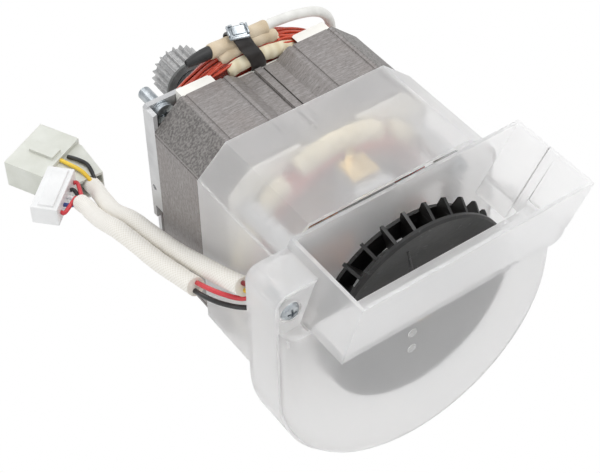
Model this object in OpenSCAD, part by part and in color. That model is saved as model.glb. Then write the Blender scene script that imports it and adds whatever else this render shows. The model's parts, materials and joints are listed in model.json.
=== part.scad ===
/* [Stator core] */
// Half of the core's width across its flat sides
core_half_w = 44; // [42:0.5:46]
// Half of the core's height over its top and bottom lands
core_half_h = 44.4; // [43:0.2:46]
// Half of a land's width, where the corner chamfer starts
land_half_w = 32.8; // [31:0.2:34]
// Half of the height of a flat side
side_half_h = 34.1; // [32:0.1:35]
// Length of the lamination stack
stack_l = 42; // [38:1:46]
// Half width of the recess between the two lands
recess_half_w = 13; // [11:0.5:14]
// Depth of that recess
recess_depth = 3.7; // [2:0.1:4.5]
// From the bore that the armature turns in out to the core's side
bore_inset = 17.5; // [17:0.1:18]
// Thickness of the yoke beside the coils
yoke_t = 6.5; // [6:0.1:7]
// Half width of a pole's neck
pole_half_w = 15; // [13:0.5:16]
// Half width of the opening between the two pole horns
horn_gap = 9; // [7:0.5:11]

/* [Armature] */
// Running gap between armature and poles
air_gap = 0.5; // [0.4:0.05:0.8]
// Number of armature slots
slots = 22; // [16:1:24]
// Depth of an armature slot
slot_depth = 8; // [6:0.5:9]
// Radius of the commutator
commutator_r = 12; // [11:0.25:13]
// Length of the commutator
commutator_l = 14; // [12:0.5:15]
// Radius of the shaft inside the core
shaft_core_r = 6; // [5.5:0.25:6.5]

/* [Drive end] */
// Distance from the mounting face back to the core
bracket_depth = 7; // [6.5:0.1:7.5]
// Thickness of the bracket's plate
plate_t = 2.2; // [1.8:0.1:2.6]
// Distance of the two mounting screws in from the core's sides
mount_inset = 6; // [5.8:0.1:6.5]
// Radius of a mounting screw's shank
mount_screw_r = 2.5; // [2:0.1:2.8]
// Length of a mounting screw beyond the mounting face
mount_screw_out = 9; // [6:0.5:12]
// Front face of the bearing boss, out from the mounting face
boss_out = 22; // [20:0.5:23]
// Radius of the bearing boss
boss_r = 18.5; // [17.5:0.25:20]
// Outer radius of the drive-end bearing
drive_bearing_r = 15; // [14.5:0.25:15.5]
// Width of the drive-end bearing
drive_bearing_w = 9; // [8:0.5:10]
// Radius of the drive-end bearing's bore
drive_journal_r = 5; // [4.5:0.25:5.25]

/* [Pulley] */
// Number of teeth on the drive pulley
pulley_teeth = 20; // [16:1:24]
// Tip radius of the pulley's teeth
pulley_r = 10.6; // [10:0.2:12]
// Depth of a tooth
tooth_depth = 1.6; // [1:0.1:1.8]
// Width of the toothed rim
pulley_w = 11.5; // [10:0.5:13]
// Inner face of the pulley, out from the mounting face
pulley_out = 42; // [38:0.5:44]

/* [Fan end] */
// Outer radius of the fan-end bearing
fan_bearing_r = 11; // [10.5:0.25:11.5]
// Width of the fan-end bearing
fan_bearing_w = 7; // [6:0.5:8]
// Radius of the fan-end bearing's bore
fan_journal_r = 4; // [3.75:0.05:4.2]
// Width of a carbon brush, across the shaft
brush_w = 6.5; // [5.5:0.25:7]
// Width of a carbon brush, along the shaft
brush_d = 8; // [7:0.25:8.5]
// Length of a carbon brush
brush_l = 14; // [12:0.5:16]

/* [Fan] */
// Number of fan blades
blades = 28; // [20:1:32]
// Radius of the fan's front disc
disc_r = 38.6; // [36:0.2:39]
// Radius over the blade tips
blade_tip_r = 39.6; // [39.2:0.1:40.2]
// Depth of a blade along the shaft
blade_depth = 9.8; // [8:0.2:11]

/* [Shroud and volute] */
// Wall of the moulded shroud and cover
wall = 1.4; // [1.2:0.1:1.8]
// Gap between the shroud and the core
shroud_gap = 0.2; // [0.1:0.05:0.4]
// Free edge of the shroud, back from the mounting face
shroud_start = 36.8; // [34:0.2:40]
// Back plate of the volute, back from the mounting face
volute_start = 84.6; // [84:0.2:86]
// Joint between the shroud and the front cover
seam_at = 101.4; // [100:0.2:102]
// Front face of the cover
face_at = 107.2; // [106.6:0.2:109]
// Front wall of the duct
duct_front = 123; // [119:0.5:126]
// Outer radius of the volute
volute_r = 58.4; // [57:0.2:60]
// Drop of the volute's centre below the shaft
volute_drop = 9; // [7:0.5:10]
// Radius of the cover's rounded front edge
cover_round = 6; // [4:0.5:7]
// Height of the duct's mouth above the shaft
mouth_z = 43.5; // [42:0.5:45]
// Radius of the inlet eye in the back plate
eye_r = 24; // [20:0.5:26]
// Radius of the cover screw's shank
cover_screw_r = 1.75; // [1.5:0.05:2]

/* [Leads] */
// Diameter of a woven lead sleeve
sleeve_d = 7; // [6:0.5:7]
// Diameter of a single wire
wire_d = 1.8; // [1.5:0.1:2]

/* [Hidden] */
$fn = 64;
eps = 0.01;
fit = 0.02;      // running or push fit on a radius
clear = 0.1;     // loose clearance between pieces that don't touch
soft = 0.3;      // clearance round wound or woven pieces

// Places along the shaft are depths: back from the mounting face, towards the fan
stator_bore_r = core_half_w - bore_inset;
yoke_r = core_half_w - yoke_t;
core_a = bracket_depth;
core_b = core_a + stack_l;
insulator_t = 1.6;
drive_coil_out = 11;
fan_coil_out = 10.5;
coil_stand_off = 2;
coil_in_r = yoke_r - 5.9;
coil_out_r = yoke_r - 0.4;
coil_bulge_r = core_half_h + 2.6;
coil_half_w = core_half_w - 6.8;
tape_gap = 0.3;
tape_t = 0.6;
armature_r = stator_bore_r - air_gap;
commutator_a = core_b + 10.5;
commutator_b = commutator_a + commutator_l;
brush_at = commutator_a + commutator_l / 2;
hub_a = commutator_b + 0.9;
fan_bearing_a = commutator_b + 2.3;
fan_bearing_b = fan_bearing_a + fan_bearing_w;
drive_bearing_a = -boss_out + 3;
drive_bearing_b = drive_bearing_a + drive_bearing_w;
spacer_r = drive_journal_r + 2.2;
disc_front = 103.4;
disc_t = 2;
disc_back = disc_front - disc_t;
blade_back = disc_back - blade_depth;
holder_in_z = commutator_r + 2.5;
holder_out_z = core_half_h - 6.9;
holder_t = 0.8;
brush_clear = 0.1;
brush_top = commutator_r + fit + brush_l;
pin_x = core_half_w - mount_inset;
pin_z = core_half_h - mount_inset - 0.4;
core_screw_x = core_half_w - 9.5;
core_screw_z = core_half_h - 16.9;
core_screw_r = 2;
lug_r = 3.8;
volute_z = -volute_drop;
mouth_left = -volute_r + 17.7;
mouth_right = volute_r - 3.4;
ledge_left = -volute_r + 9.9;
ledge_right = volute_r - 17.4;
ledge_z = 24;
cheek_top = 40.5;
cheek_r = 5;
neck_z = 9;
neck_x = volute_r - 14.9;
cover_screw_x = -volute_r + 5.9;
cover_screw_z = 31.5;
lug_a = seam_at - 2.6;
screw_seat = seam_at - 1.2;
boss_wall = 2.4;
floor_z = volute_z - volute_r;

// Extrudes an outline drawn in x and z along the shaft, from depth a to depth b
module along(a, b) {
    translate([0, -a, 0]) rotate([90, 0, 0]) linear_extrude(b - a) children();
}

// Turns a profile of radius and depth about the shaft
module turned(angle = 360) {
    rotate([90, 0, 0]) rotate_extrude(angle = angle, $fn = 96) children();
}

// A tube or disc on the shaft's axis
module ring(a, b, r, hole = 0, x = 0, z = 0) {
    translate([x, 0, z]) along(a, b) difference() {
        circle(r);
        if (hole > 0) circle(hole);
    }
}

// The core's outline, grown by g on every side
module core_outline(g = 0) {
    c = 0.414 * g;
    polygon([
        [-land_half_w - c, core_half_h + g], [land_half_w + c, core_half_h + g],
        [core_half_w + g, side_half_h + c], [core_half_w + g, -side_half_h - c],
        [land_half_w + c, -core_half_h - g], [-land_half_w - c, -core_half_h - g],
        [-core_half_w - g, -side_half_h - c], [-core_half_w - g, side_half_h + c]
    ]);
}

// The recess between the lands, with its welded rib and two grooves
module recess_outline() {
    floor_w = recess_half_w - 5;
    z = core_half_h - recess_depth;
    difference() {
        polygon([
            [-recess_half_w, core_half_h + 1], [-recess_half_w, core_half_h], [-floor_w, z],
            [floor_w, z], [recess_half_w, core_half_h], [recess_half_w, core_half_h + 1]
        ]);
        translate([-1.4, z - 1]) square([2.8, 1.5]);
    }
    for (s = [-1, 1]) translate([s * 2 - 0.4, z - 0.7]) square([0.8, 1]);
}

// Small grooves along the edges of the lands and across the chamfers
module edge_grooves() {
    for (sx = [-1, 1], sz = [-1, 1]) scale([sx, sz]) {
        translate([land_half_w - 2.1, core_half_h]) circle(0.55, $fn = 16);
        translate([recess_half_w + 2, core_half_h]) circle(0.55, $fn = 16);
        translate([core_half_w, side_half_h - 1.6]) circle(0.5, $fn = 16);
    }
}

// The room inside the core: bore, coil windows and the pole horns left standing
module core_opening() {
    horn_r = stator_bore_r + 4.6;
    circle(stator_bore_r);
    difference() {
        circle(yoke_r);
        square([2 * pole_half_w, 2 * yoke_r + 1], center = true);
        difference() {
            circle(horn_r);
            circle(stator_bore_r);
            square([2 * yoke_r, 2 * horn_gap], center = true);
        }
    }
}

module core_screw_holes(r) {
    for (sx = [-1, 1], sz = [-1, 1]) translate([sx * core_screw_x, sz * core_screw_z]) circle(r, $fn = 32);
}

module stator_core() {
    color([0.5, 0.49, 0.5]) along(core_a, core_b) difference() {
        core_outline();
        recess_outline();
        rotate(180) recess_outline();
        edge_grooves();
        core_opening();
        core_screw_holes(core_screw_r + clear);
    }
}

// A moulded plate on one end of the core, with the pole horns' outline
module end_insulator(a, b) {
    color([0.93, 0.91, 0.86]) along(a, b) difference() {
        intersection() {
            core_outline(-2.2);
            square([2 * core_half_w - 6, 2 * core_half_h + 2], center = true);
        }
        translate([0, core_half_h]) square([2 * recess_half_w - 2, 2 * recess_depth + 2], center = true);
        translate([0, -core_half_h]) square([2 * recess_half_w - 2, 2 * recess_depth + 2], center = true);
        core_opening();
        core_screw_holes(core_screw_r + clear);
    }
}

// Collars of the drive-end plate that show along the lands
module land_collars() {
    difference() {
        for (sx = [-1, 1], sz = [-1, 1]) scale([sx, sz]) translate([recess_half_w + 1, core_half_h - 6.4])
            square([land_half_w - recess_half_w - 2, 6.2]);
        circle(coil_bulge_r + 0.6);
    }
}

module drive_end_insulator() {
    color([0.93, 0.91, 0.86]) {
        end_insulator(core_a - insulator_t, core_a);
        along(core_a - 4.4, core_a) land_collars();
    }
}

module fan_end_insulator() end_insulator(core_b, core_b + insulator_t);

// A sector of a ring in the plane across the shaft, from angle a0 to a1
module sector(r0, r1, a0, a1) {
    far = 2 * r1;
    intersection() {
        difference() {
            circle(r1);
            circle(r0);
        }
        polygon([[0, 0], far * [cos(a0), sin(a0)], far * [cos((a0 + a1) / 2), sin((a0 + a1) / 2)], far * [cos(a1), sin(a1)]]);
    }
}

// Rounded section of a coil end, as radius and depth
module coil_end_section(r0, r1, d0, d1) {
    round_r = 3;
    translate([r0 + round_r, d0 + round_r]) circle(round_r, $fn = 24);
    translate([r1 - round_r, d0 + round_r]) circle(round_r, $fn = 24);
    translate([r0, d0 + round_r]) square([r1 - r0, d1 - d0 - round_r]);
    translate([r0 + round_r, d0]) square([r1 - r0 - 2 * round_r, d1 - d0]);
}

// A field coil: two sides in the windows and a turned-over end at each face of the core
module field_coil() {
    a0 = 8;
    side_a = 46;
    far_r = coil_out_r + 2;
    color([0.72, 0.2, 0.1]) {
        along(core_a - insulator_t - coil_stand_off - 1, core_b + insulator_t + 1) {
            sector(coil_in_r + 0.3, coil_out_r, a0, side_a);
            sector(coil_in_r + 0.3, coil_out_r, 180 - side_a, 180 - a0);
        }
        difference() {
            intersection() {
                rotate([0, -a0, 0]) turned(180 - 2 * a0) coil_end_section(
                    coil_in_r, coil_bulge_r, core_a - drive_coil_out, core_a - insulator_t - coil_stand_off);
                cube([2 * coil_half_w, 200, 200], center = true);
            }
            along(-20, core_a) core_screw_holes(lug_r + 0.5);
        }
        rotate([0, -a0, 0]) turned(180 - 2 * a0) mirror([0, 1])
            coil_end_section(coil_in_r, far_r, -core_b - fan_coil_out, -core_b - insulator_t);
    }
}

module upper_field_coil() field_coil();

module lower_field_coil() rotate([0, 180, 0]) field_coil();

// One armature slot: a round-bottomed pocket with a narrow mouth
module slot_outline(grow = 0) {
    base_r = armature_r - slot_depth;
    w = 0.26 * base_r * 2 * PI / slots * 2;
    polygon([
        [base_r - grow, -w / 2 + 0.2 - grow], [armature_r - 1.6 + grow, -w / 2 - 0.7 - grow],
        [armature_r - 1.6 + grow, w / 2 + 0.7 + grow], [base_r - grow, w / 2 - 0.2 + grow]
    ]);
}

module armature_core() {
    color([0.45, 0.45, 0.47]) along(core_a, core_b) difference() {
        circle(armature_r, $fn = 128);
        circle(shaft_core_r + fit);
        for (i = [0:slots - 1]) rotate(360 * i / slots) {
            slot_outline();
            translate([armature_r - 1.8, -0.8]) square([3, 1.6]);
        }
    }
}

module armature_winding() {
    end_in = shaft_core_r + 2.5;
    end_out = armature_r - 2;
    color([0.74, 0.36, 0.16]) {
        along(core_a - 2, core_b + 2) for (i = [0:slots - 1]) rotate(360 * i / slots) slot_outline(-0.15);
        turned() {
            polygon([
                [end_in, core_a - 10], [end_in + 3, core_a - 12], [end_out - 5, core_a - 10.5],
                [end_out, core_a - 6], [end_out, core_a - clear], [end_in, core_a - clear]
            ]);
            polygon([
                [end_in, core_b + clear], [end_out, core_b + clear], [end_out, core_b + 5],
                [end_out - 6, core_b + 8], [commutator_r + 0.5, core_b + 8.4], [end_in, core_b + 8.4]
            ]);
        }
    }
}

module commutator() {
    bars = slots;
    riser_r = commutator_r + 2;
    color([0.78, 0.48, 0.28]) difference() {
        union() {
            ring(commutator_a, commutator_b, commutator_r, commutator_r - 3);
            ring(commutator_a - 1.8, commutator_a, riser_r, commutator_r - 3);
        }
        for (i = [0:bars - 1]) rotate([0, 360 * i / bars, 0])
            translate([commutator_r - 0.7, -commutator_b - 1, -0.3]) cube([5, commutator_l + 4, 0.6]);
    }
}

module commutator_hub() {
    color([0.25, 0.2, 0.16])
        ring(commutator_a - 1, commutator_b + 0.3, commutator_r - 3, shaft_core_r + fit);
}

module shaft() {
    key_flat = 4.2;
    color([0.75, 0.76, 0.78]) difference() {
        turned() polygon([
            [0, -pulley_out - pulley_w - 4], [drive_journal_r - 0.7, -pulley_out - pulley_w - 4],
            [drive_journal_r, -pulley_out - pulley_w - 3.3], [drive_journal_r, drive_bearing_b],
            [shaft_core_r, drive_bearing_b], [shaft_core_r, fan_bearing_a],
            [fan_journal_r, fan_bearing_a], [fan_journal_r, disc_back - 0.3],
            [2.9, disc_back - 0.3], [2.9, disc_front + 1.5], [0, disc_front + 1.5]
        ]);
        ring(-pulley_out - pulley_w - 2.2, -pulley_out - pulley_w - 1, drive_journal_r + 1, drive_journal_r - 0.6);
    }
}

module half_turn() {
    children();
    rotate([0, 180, 0]) children();
}

// Die-cast bridge: two corner pads with side walls, an arm over the coil ends and the bearing boss
module drive_bracket() {
    half_h = core_half_h - 2.4;
    pad_in = core_half_w - 16;
    wall_t = 1.6;
    wall_down = 48;
    arm_h = 12;
    arm_b = -10;
    arm_a = -14;
    post_in = coil_half_w + 0.4;
    color([0.74, 0.75, 0.77]) difference() {
        union() {
            half_turn() scale([-1, 1, 1]) {
                along(0, plate_t) polygon([
                    [pad_in, half_h], [core_half_w - 1, half_h], [core_half_w, half_h - 1],
                    [core_half_w, 11], [post_in, 11], [post_in, core_screw_z + 1.7], [post_in - 4.6, core_screw_z + 6.7],
                    [pad_in, half_h - 3.6]
                ]);
                along(0, core_a) polygon([
                    [core_half_w, half_h - 1], [core_half_w, side_half_h], [core_half_w - wall_t, side_half_h],
                    [core_half_w - wall_t, half_h - 0.5]
                ]);
                along(0, core_a) translate([core_half_w - wall_t, half_h - wall_down])
                    square([wall_t, wall_down - 6]);
            }
            half_turn() {
                along(0, plate_t) translate([post_in, -arm_h]) square([core_half_w - post_in, 2 * arm_h]);
                for (sz = [-1, 1]) {
                    translate([core_screw_x, 0, sz * core_screw_z]) along(0, core_a - insulator_t)
                        circle(lug_r, $fn = 32);
                    along(0, plate_t) translate([post_in, sz > 0 ? arm_h - 1 : -core_screw_z - 2.5])
                        square([core_half_w - 1.5 - post_in, core_screw_z + 3.5 - arm_h]);
                }
            }
            translate([0, 0, -arm_h]) linear_extrude(2 * arm_h) polygon([
                [-core_half_w + 1, -plate_t], [-core_half_w + 1, 0], [-core_half_w + 2.4, 4], [-33, -arm_a],
                [33, -arm_a], [core_half_w - 2.4, 4], [core_half_w - 1, 0], [core_half_w - 1, -plate_t],
                [post_in, -plate_t], [post_in, 5.4], [31, -arm_b], [-31, -arm_b], [-post_in, 5.4], [-post_in, -plate_t]
            ]);
            for (s = [-1, 1]) along(arm_a - 3, arm_a) translate([0, s * (arm_h - 2)]) square([60, 2.4], center = true);
            ring(-boss_out, arm_b, boss_r);
        }
        ring(drive_bearing_a, arm_b + 1, drive_bearing_r + fit);
        ring(-boss_out - 1, drive_bearing_a + 1, drive_journal_r + 3);
        at_mounts() along(-1, plate_t + 1) circle(mount_screw_r + 0.25, $fn = 32);
        for (sx = [-1, 1], sz = [-1, 1]) translate([sx * core_screw_x, 0, sz * core_screw_z])
            along(1.2, core_a + 1) circle(core_screw_r + fit, $fn = 32);
        translate([-core_half_w - 1, -2.6, 3.5]) rotate([0, 90, 0]) cylinder(h = wall_t + 2, r = 1.2, $fn = 24);
    }
}

// The two corners of the mounting pattern
module at_mounts() {
    for (s = [-1, 1]) translate([-s * pin_x, 0, s * pin_z]) children();
}

module mounting_screws() {
    head_a = plate_t + 1.7;
    color([0.8, 0.81, 0.83]) at_mounts() difference() {
        union() {
            ring(-mount_screw_out, -0.5, mount_screw_r);
            ring(-0.5, head_a, mount_screw_r - 0.1);
            ring(head_a, head_a + 1.3, mount_screw_r + 1.4);
        }
        rotate([90, 0, 0]) translate([0, 0, head_a + 1]) {
            cube([4, 0.9, 1], center = true);
            cube([0.9, 4, 1], center = true);
        }
    }
}

module spring_washers() {
    color([0.68, 0.69, 0.71]) at_mounts() difference() {
        ring(plate_t + 0.7, plate_t + 1.7, mount_screw_r + 1.4, mount_screw_r + 0.15);
        translate([mount_screw_r, -plate_t - 1.2, 0]) rotate([30, 0, 0]) cube([6, 3, 0.5], center = true);
    }
}

module flat_washers() {
    color([0.83, 0.84, 0.85]) at_mounts() ring(plate_t, plate_t + 0.7, mount_screw_r + 1.6, mount_screw_r + 0.15);
}

module core_screws() {
    head_at = hub_a + 2.6;
    color([0.7, 0.71, 0.73])
        for (sx = [-1, 1], sz = [-1, 1]) translate([sx * core_screw_x, 0, sz * core_screw_z]) {
            ring(1.4, head_at, core_screw_r);
            ring(head_at, head_at + 2.4, core_screw_r + 1.6);
        }
}

// A ball bearing, drawn as its two rings and its balls
module bearing_outer(a, w, r, bore) {
    ball_r = (r - bore) * 0.27;
    pitch_r = (r + bore) / 2;
    color([0.72, 0.74, 0.77]) difference() {
        ring(a, a + w, r, pitch_r + ball_r * 0.62);
        turned() translate([pitch_r, a + w / 2]) circle(ball_r + 0.03, $fn = 32);
    }
}

module bearing_inner(a, w, r, bore) {
    ball_r = (r - bore) * 0.27;
    pitch_r = (r + bore) / 2;
    color([0.72, 0.74, 0.77]) difference() {
        ring(a, a + w, pitch_r - ball_r * 0.62, bore + fit);
        turned() translate([pitch_r, a + w / 2]) circle(ball_r + 0.03, $fn = 32);
    }
}

// Balls joined by their cage ribbon
module bearing_balls(a, w, r, bore, count) {
    ball_r = (r - bore) * 0.27;
    pitch_r = (r + bore) / 2;
    color([0.82, 0.83, 0.85]) {
        for (i = [0:count - 1]) rotate([0, 360 * i / count, 0])
            translate([pitch_r, -a - w / 2, 0]) sphere(ball_r, $fn = 32);
        ring(a + w / 2 - 0.4, a + w / 2 + 0.4, pitch_r + 0.4, pitch_r - 0.4);
    }
}

module drive_bearing_outer() bearing_outer(drive_bearing_a, drive_bearing_w, drive_bearing_r, drive_journal_r);

module drive_bearing_inner() bearing_inner(drive_bearing_a, drive_bearing_w, drive_bearing_r, drive_journal_r);

module drive_bearing_balls() bearing_balls(drive_bearing_a, drive_bearing_w, drive_bearing_r, drive_journal_r, 8);

module fan_bearing_outer() bearing_outer(fan_bearing_a, fan_bearing_w, fan_bearing_r, fan_journal_r);

module fan_bearing_inner() bearing_inner(fan_bearing_a, fan_bearing_w, fan_bearing_r, fan_journal_r);

module fan_bearing_balls() bearing_balls(fan_bearing_a, fan_bearing_w, fan_bearing_r, fan_journal_r, 7);

// Cast bridge behind the commutator: four posts, an open plate, brush boxes and the bearing hub
module fan_bracket() {
    plate_a = hub_a;
    plate_b = plate_a + 2.6;
    hub_r = fan_bearing_r + 2.4;
    box_w = brush_w + 2 * (holder_t + clear) + 3.2;
    box_d = brush_d + 2 * (holder_t + clear);
    hole_w = brush_w + 2 * (holder_t + clear);
    color([0.62, 0.63, 0.65]) difference() {
        union() {
            for (sx = [-1, 1], sz = [-1, 1]) {
                translate([sx * core_screw_x, 0, sz * core_screw_z])
                    ring(core_b + insulator_t, plate_b, core_screw_r + 2.2);
            }
            along(plate_a, plate_b) difference() {
                union() {
                    square([2 * core_screw_x + 6, 10], center = true);
                    square([box_w + 4, 2 * holder_out_z - 2], center = true);
                    for (s = [-1, 1]) translate([0, s * core_screw_z])
                        square([2 * core_screw_x + 6, 7], center = true);
                    for (s = [-1, 1]) translate([s * core_screw_x, 0])
                        square([7, 2 * core_screw_z], center = true);
                }
                circle(shaft_core_r + 2.4);
            }
            ring(plate_a, fan_bearing_b + 1.4, hub_r, shaft_core_r + 2.4);
            for (s = [-1, 1]) translate([-box_w / 2, -plate_a, s > 0 ? 17 : -holder_out_z + 1])
                cube([box_w, plate_a - brush_at + box_d / 2 + 1, holder_out_z - 18]);
        }
        ring(fan_bearing_a, fan_bearing_b + 2, fan_bearing_r + fit);
        for (sx = [-1, 1], sz = [-1, 1]) translate([sx * core_screw_x, 0, sz * core_screw_z])
            along(core_b, plate_b + 1) circle(core_screw_r + clear, $fn = 32);
        translate([-hole_w / 2, -brush_at - box_d / 2, -50]) cube([hole_w, box_d, 100]);
    }
}

// A square brass tube that guides one brush
module brush_holder() {
    in_w = brush_w + 2 * brush_clear;
    in_d = brush_d + 2 * brush_clear;
    color([0.8, 0.66, 0.32]) difference() {
        translate([0, -brush_at, (holder_in_z + holder_out_z) / 2])
            cube([in_w + 2 * (holder_t - 0.1), in_d + 2 * (holder_t - 0.1), holder_out_z - holder_in_z], center = true);
        translate([0, -brush_at, 30]) cube([in_w, in_d, 60], center = true);
    }
}

// A carbon block whose tip is hollowed to the commutator's radius
module brush() {
    color([0.16, 0.16, 0.17]) difference() {
        translate([-brush_w / 2, -brush_at - brush_d / 2, commutator_r - 2])
            cube([brush_w, brush_d, brush_top - commutator_r + 2]);
        ring(commutator_a - 5, commutator_b + 5, commutator_r + fit, x = 0, z = 0);
    }
}

// Points of a round wire swept along a path, and the faces between its rings
function circle_at(p, t, r, sides) =
    let (
        up = abs(t[2]) > 0.9 ? [1, 0, 0] : [0, 0, 1],
        u = cross(t, up) / norm(cross(t, up)),
        v = cross(t, u)
    )
    [for (k = [0:sides - 1]) p + r * (cos(360 * k / sides) * u + sin(360 * k / sides) * v)];

function tangent(path, i) =
    let (a = path[max(i - 1, 0)], b = path[min(i + 1, len(path) - 1)])
    (b - a) / norm(b - a);

module sweep(path, r, sides = 8) {
    n = len(path);
    points = [for (i = [0:n - 1]) each circle_at(path[i], tangent(path, i), r, sides)];
    side_faces = [
        for (i = [0:n - 2], k = [0:sides - 1])
            let (a = i * sides, b = a + sides, m = (k + 1) % sides)
            each [[a + k, a + m, b + m], [a + k, b + m, b + k]]
    ];
    start_cap = [[for (k = [sides - 1:-1:0]) k]];
    end_cap = [[for (k = [0:sides - 1]) (n - 1) * sides + k]];
    polyhedron(points, concat(start_cap, side_faces, end_cap), convexity = 6);
}

// A helical spring between the brush and its cap
module brush_spring() {
    turns = 5;
    steps = 10;
    wire_r = 0.4;
    coil_r = 2.2;
    z0 = brush_top + wire_r + 0.05;
    z1 = holder_out_z - wire_r - 0.05;
    color([0.7, 0.72, 0.74]) sweep([
        for (i = [0:turns * steps])
            let (a = 360 * i / steps)
            [coil_r * cos(a), -brush_at + coil_r * sin(a), z0 + (z1 - z0) * i / (turns * steps)]
    ], wire_r, 6);
}

// The clip that closes a brush holder
module brush_cap() {
    w = brush_w + 2 * holder_t + 3;
    d = brush_d + 2 * holder_t + 1;
    color([0.8, 0.66, 0.32]) {
        translate([-w / 2, -brush_at - d / 2, holder_out_z]) cube([w, d, 0.8]);
        translate([-1.6, -brush_at + d / 2 - 0.8, holder_out_z]) cube([3.2, 0.8, 5]);
    }
}

module upper_brush_holder() brush_holder();

module lower_brush_holder() rotate([0, 180, 0]) brush_holder();

module upper_brush() brush();

module lower_brush() rotate([0, 180, 0]) brush();

module upper_brush_spring() brush_spring();

module lower_brush_spring() rotate([0, 180, 0]) brush_spring();

module upper_brush_cap() brush_cap();

module lower_brush_cap() rotate([0, 180, 0]) brush_cap();

// Toothed belt pulley
module pulley() {
    root_r = pulley_r - tooth_depth;
    pitch = 360 / pulley_teeth;
    root_w = 0.66 * root_r * PI / pulley_teeth;
    tip_w = 0.22 * root_w;
    color([0.68, 0.68, 0.69]) {
        along(-pulley_out - pulley_w, -pulley_out) difference() {
            union() {
                circle(root_r, $fn = 96);
                for (i = [0:pulley_teeth - 1]) rotate(i * pitch)
                    polygon([[root_r - 1, -root_w], [pulley_r, -tip_w], [pulley_r, tip_w], [root_r - 1, root_w]]);
            }
            circle(drive_journal_r + fit);
        }
    }
}

// Dark flange on the pulley's inner face
module pulley_disc() {
    color([0.36, 0.37, 0.38]) ring(-pulley_out, -pulley_out + 1.2, pulley_r + 0.3, spacer_r + clear);
}

// Tube that keeps the pulley off the bearing
module pulley_spacer() {
    color([0.6, 0.61, 0.63]) ring(-pulley_out, drive_bearing_a, spacer_r, drive_journal_r + fit);
}

module pulley_clip() {
    a = -pulley_out - pulley_w - 2.1;
    color([0.5, 0.51, 0.53]) difference() {
        ring(a, a + 1, drive_journal_r + 2, drive_journal_r - 0.5);
        translate([0, 0, -drive_journal_r]) cube([4, 200, 2 * drive_journal_r], center = true);
    }
}

// Radial fan: a plain front disc, raked blades with pointed tips, and a rear ring
module fan() {
    ring_r = 35.5;
    ring_in = 27;
    blade_t = 1.2;
    hub_r = 9;
    first = 92.5;
    color([0.1, 0.1, 0.1]) {
        turned() {
            polygon([
                [2.9 + fit, disc_front], [disc_r - 0.8, disc_front], [disc_r, disc_front - 0.8],
                [disc_r, disc_back], [2.9 + fit, disc_back]
            ]);
            polygon([[hub_r, disc_back], [fan_journal_r + fit, disc_back], [fan_journal_r + fit, disc_back - 8],
                [hub_r - 1, disc_back - 8]]);
            polygon([[ring_in, blade_back], [ring_r, blade_back], [ring_r, blade_back + 1.4], [ring_in, blade_back + 1.4]]);
        }
        for (i = [0:blades - 1]) rotate([0, -first - 360 * i / blades, 0])
            rotate([90, 0, 0]) translate([0, 0, blade_back]) rotate([90, 0, 0]) translate([0, 0, -blade_t / 2])
                linear_extrude(blade_t) polygon([
                    [24, blade_depth], [ring_in + 1, 0.7], [ring_r, 0.7], [blade_tip_r - 0.6, 1.2], [blade_tip_r, 2],
                    [blade_tip_r - 0.4, 3], [disc_r - 3, blade_depth]
                ]);
    }
}

module fan_nut() {
    color([0.78, 0.7, 0.4]) along(disc_front, disc_front + 1.2) difference() {
        circle(4.6, $fn = 6);
        circle(2.9 + fit);
    }
}

// Section of the tape's tube round the coil end, grown by g
module tape_section(g) {
    d0 = core_a - drive_coil_out - tape_gap - g;
    d1 = core_a - insulator_t - coil_stand_off + tape_gap + g;
    translate([coil_in_r - tape_gap - g, d0]) square([coil_bulge_r - coil_in_r + 2 * (tape_gap + g), d1 - d0]);
}

// Cream tape round the middle of the upper coil's drive end
module coil_tape() {
    color([0.9, 0.84, 0.68]) rotate([0, -72, 0]) turned(42) difference() {
        tape_section(tape_t);
        tape_section(0);
    }
}

// Cream tape round parts of a coil's fan end, open towards the core
module fan_end_tapes() {
    d0 = core_b + insulator_t + 0.4;
    d1 = core_b + fan_coil_out + tape_gap;
    r0 = coil_in_r - tape_gap;
    r1 = coil_out_r + 2 + tape_gap;
    color([0.9, 0.84, 0.68]) for (a = [[14, 30], [62, 118], [150, 166]]) rotate([0, -a[0], 0]) turned(a[1] - a[0]) polygon([
        [r0 - tape_t, d0], [r0 - tape_t, d1 + tape_t], [r1 + tape_t, d1 + tape_t], [r1 + tape_t, d0],
        [r1, d0], [r1, d1], [r0, d1], [r0, d0]
    ]);
}

module upper_fan_end_tapes() fan_end_tapes();

module lower_fan_end_tapes() rotate([0, 180, 0]) fan_end_tapes();

roll_y = 1.5;
roll_z = core_half_h + 7.4;
roll_r = 3.6;
roll_x = -15;
roll_l = 24;
roll_t = 0.6;
end_sleeve_l = 9;
strap_t = 0.8;

// Round sleeve that holds the thermal cut-out on the coil
module cutout_sleeve() {
    color([0.86, 0.78, 0.64]) translate([roll_x, roll_y, roll_z]) rotate([0, 90, 0]) difference() {
        cylinder(h = roll_l, r = roll_r);
        translate([0, 0, -1]) cylinder(h = roll_l + 2, r = roll_r - roll_t);
    }
}

module thermal_cutout() {
    color([0.75, 0.75, 0.72]) translate([roll_x + 9, roll_y, roll_z]) rotate([0, 90, 0])
        cylinder(h = 11, r = roll_r - roll_t - 0.3);
}

module end_sleeve() {
    color([0.08, 0.08, 0.08]) translate([roll_x, roll_y, roll_z]) rotate([0, -90, 0])
        cylinder(h = end_sleeve_l, r1 = roll_r - 0.8, r2 = 1.7);
}

module strap_outline(grow) {
    g = tape_gap + tape_t;
    y_in = -core_a + insulator_t + coil_stand_off - g;
    y_out = drive_coil_out - core_a + g;
    hull() {
        translate([roll_y, roll_z]) circle(roll_r + grow, $fn = 32);
        translate([y_in, coil_in_r - g - 0.5]) circle(grow, $fn = 16);
        translate([y_out, coil_in_r - g - 0.5]) circle(grow, $fn = 16);
        translate([y_in, coil_bulge_r + g]) circle(grow, $fn = 16);
    }
}

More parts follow.
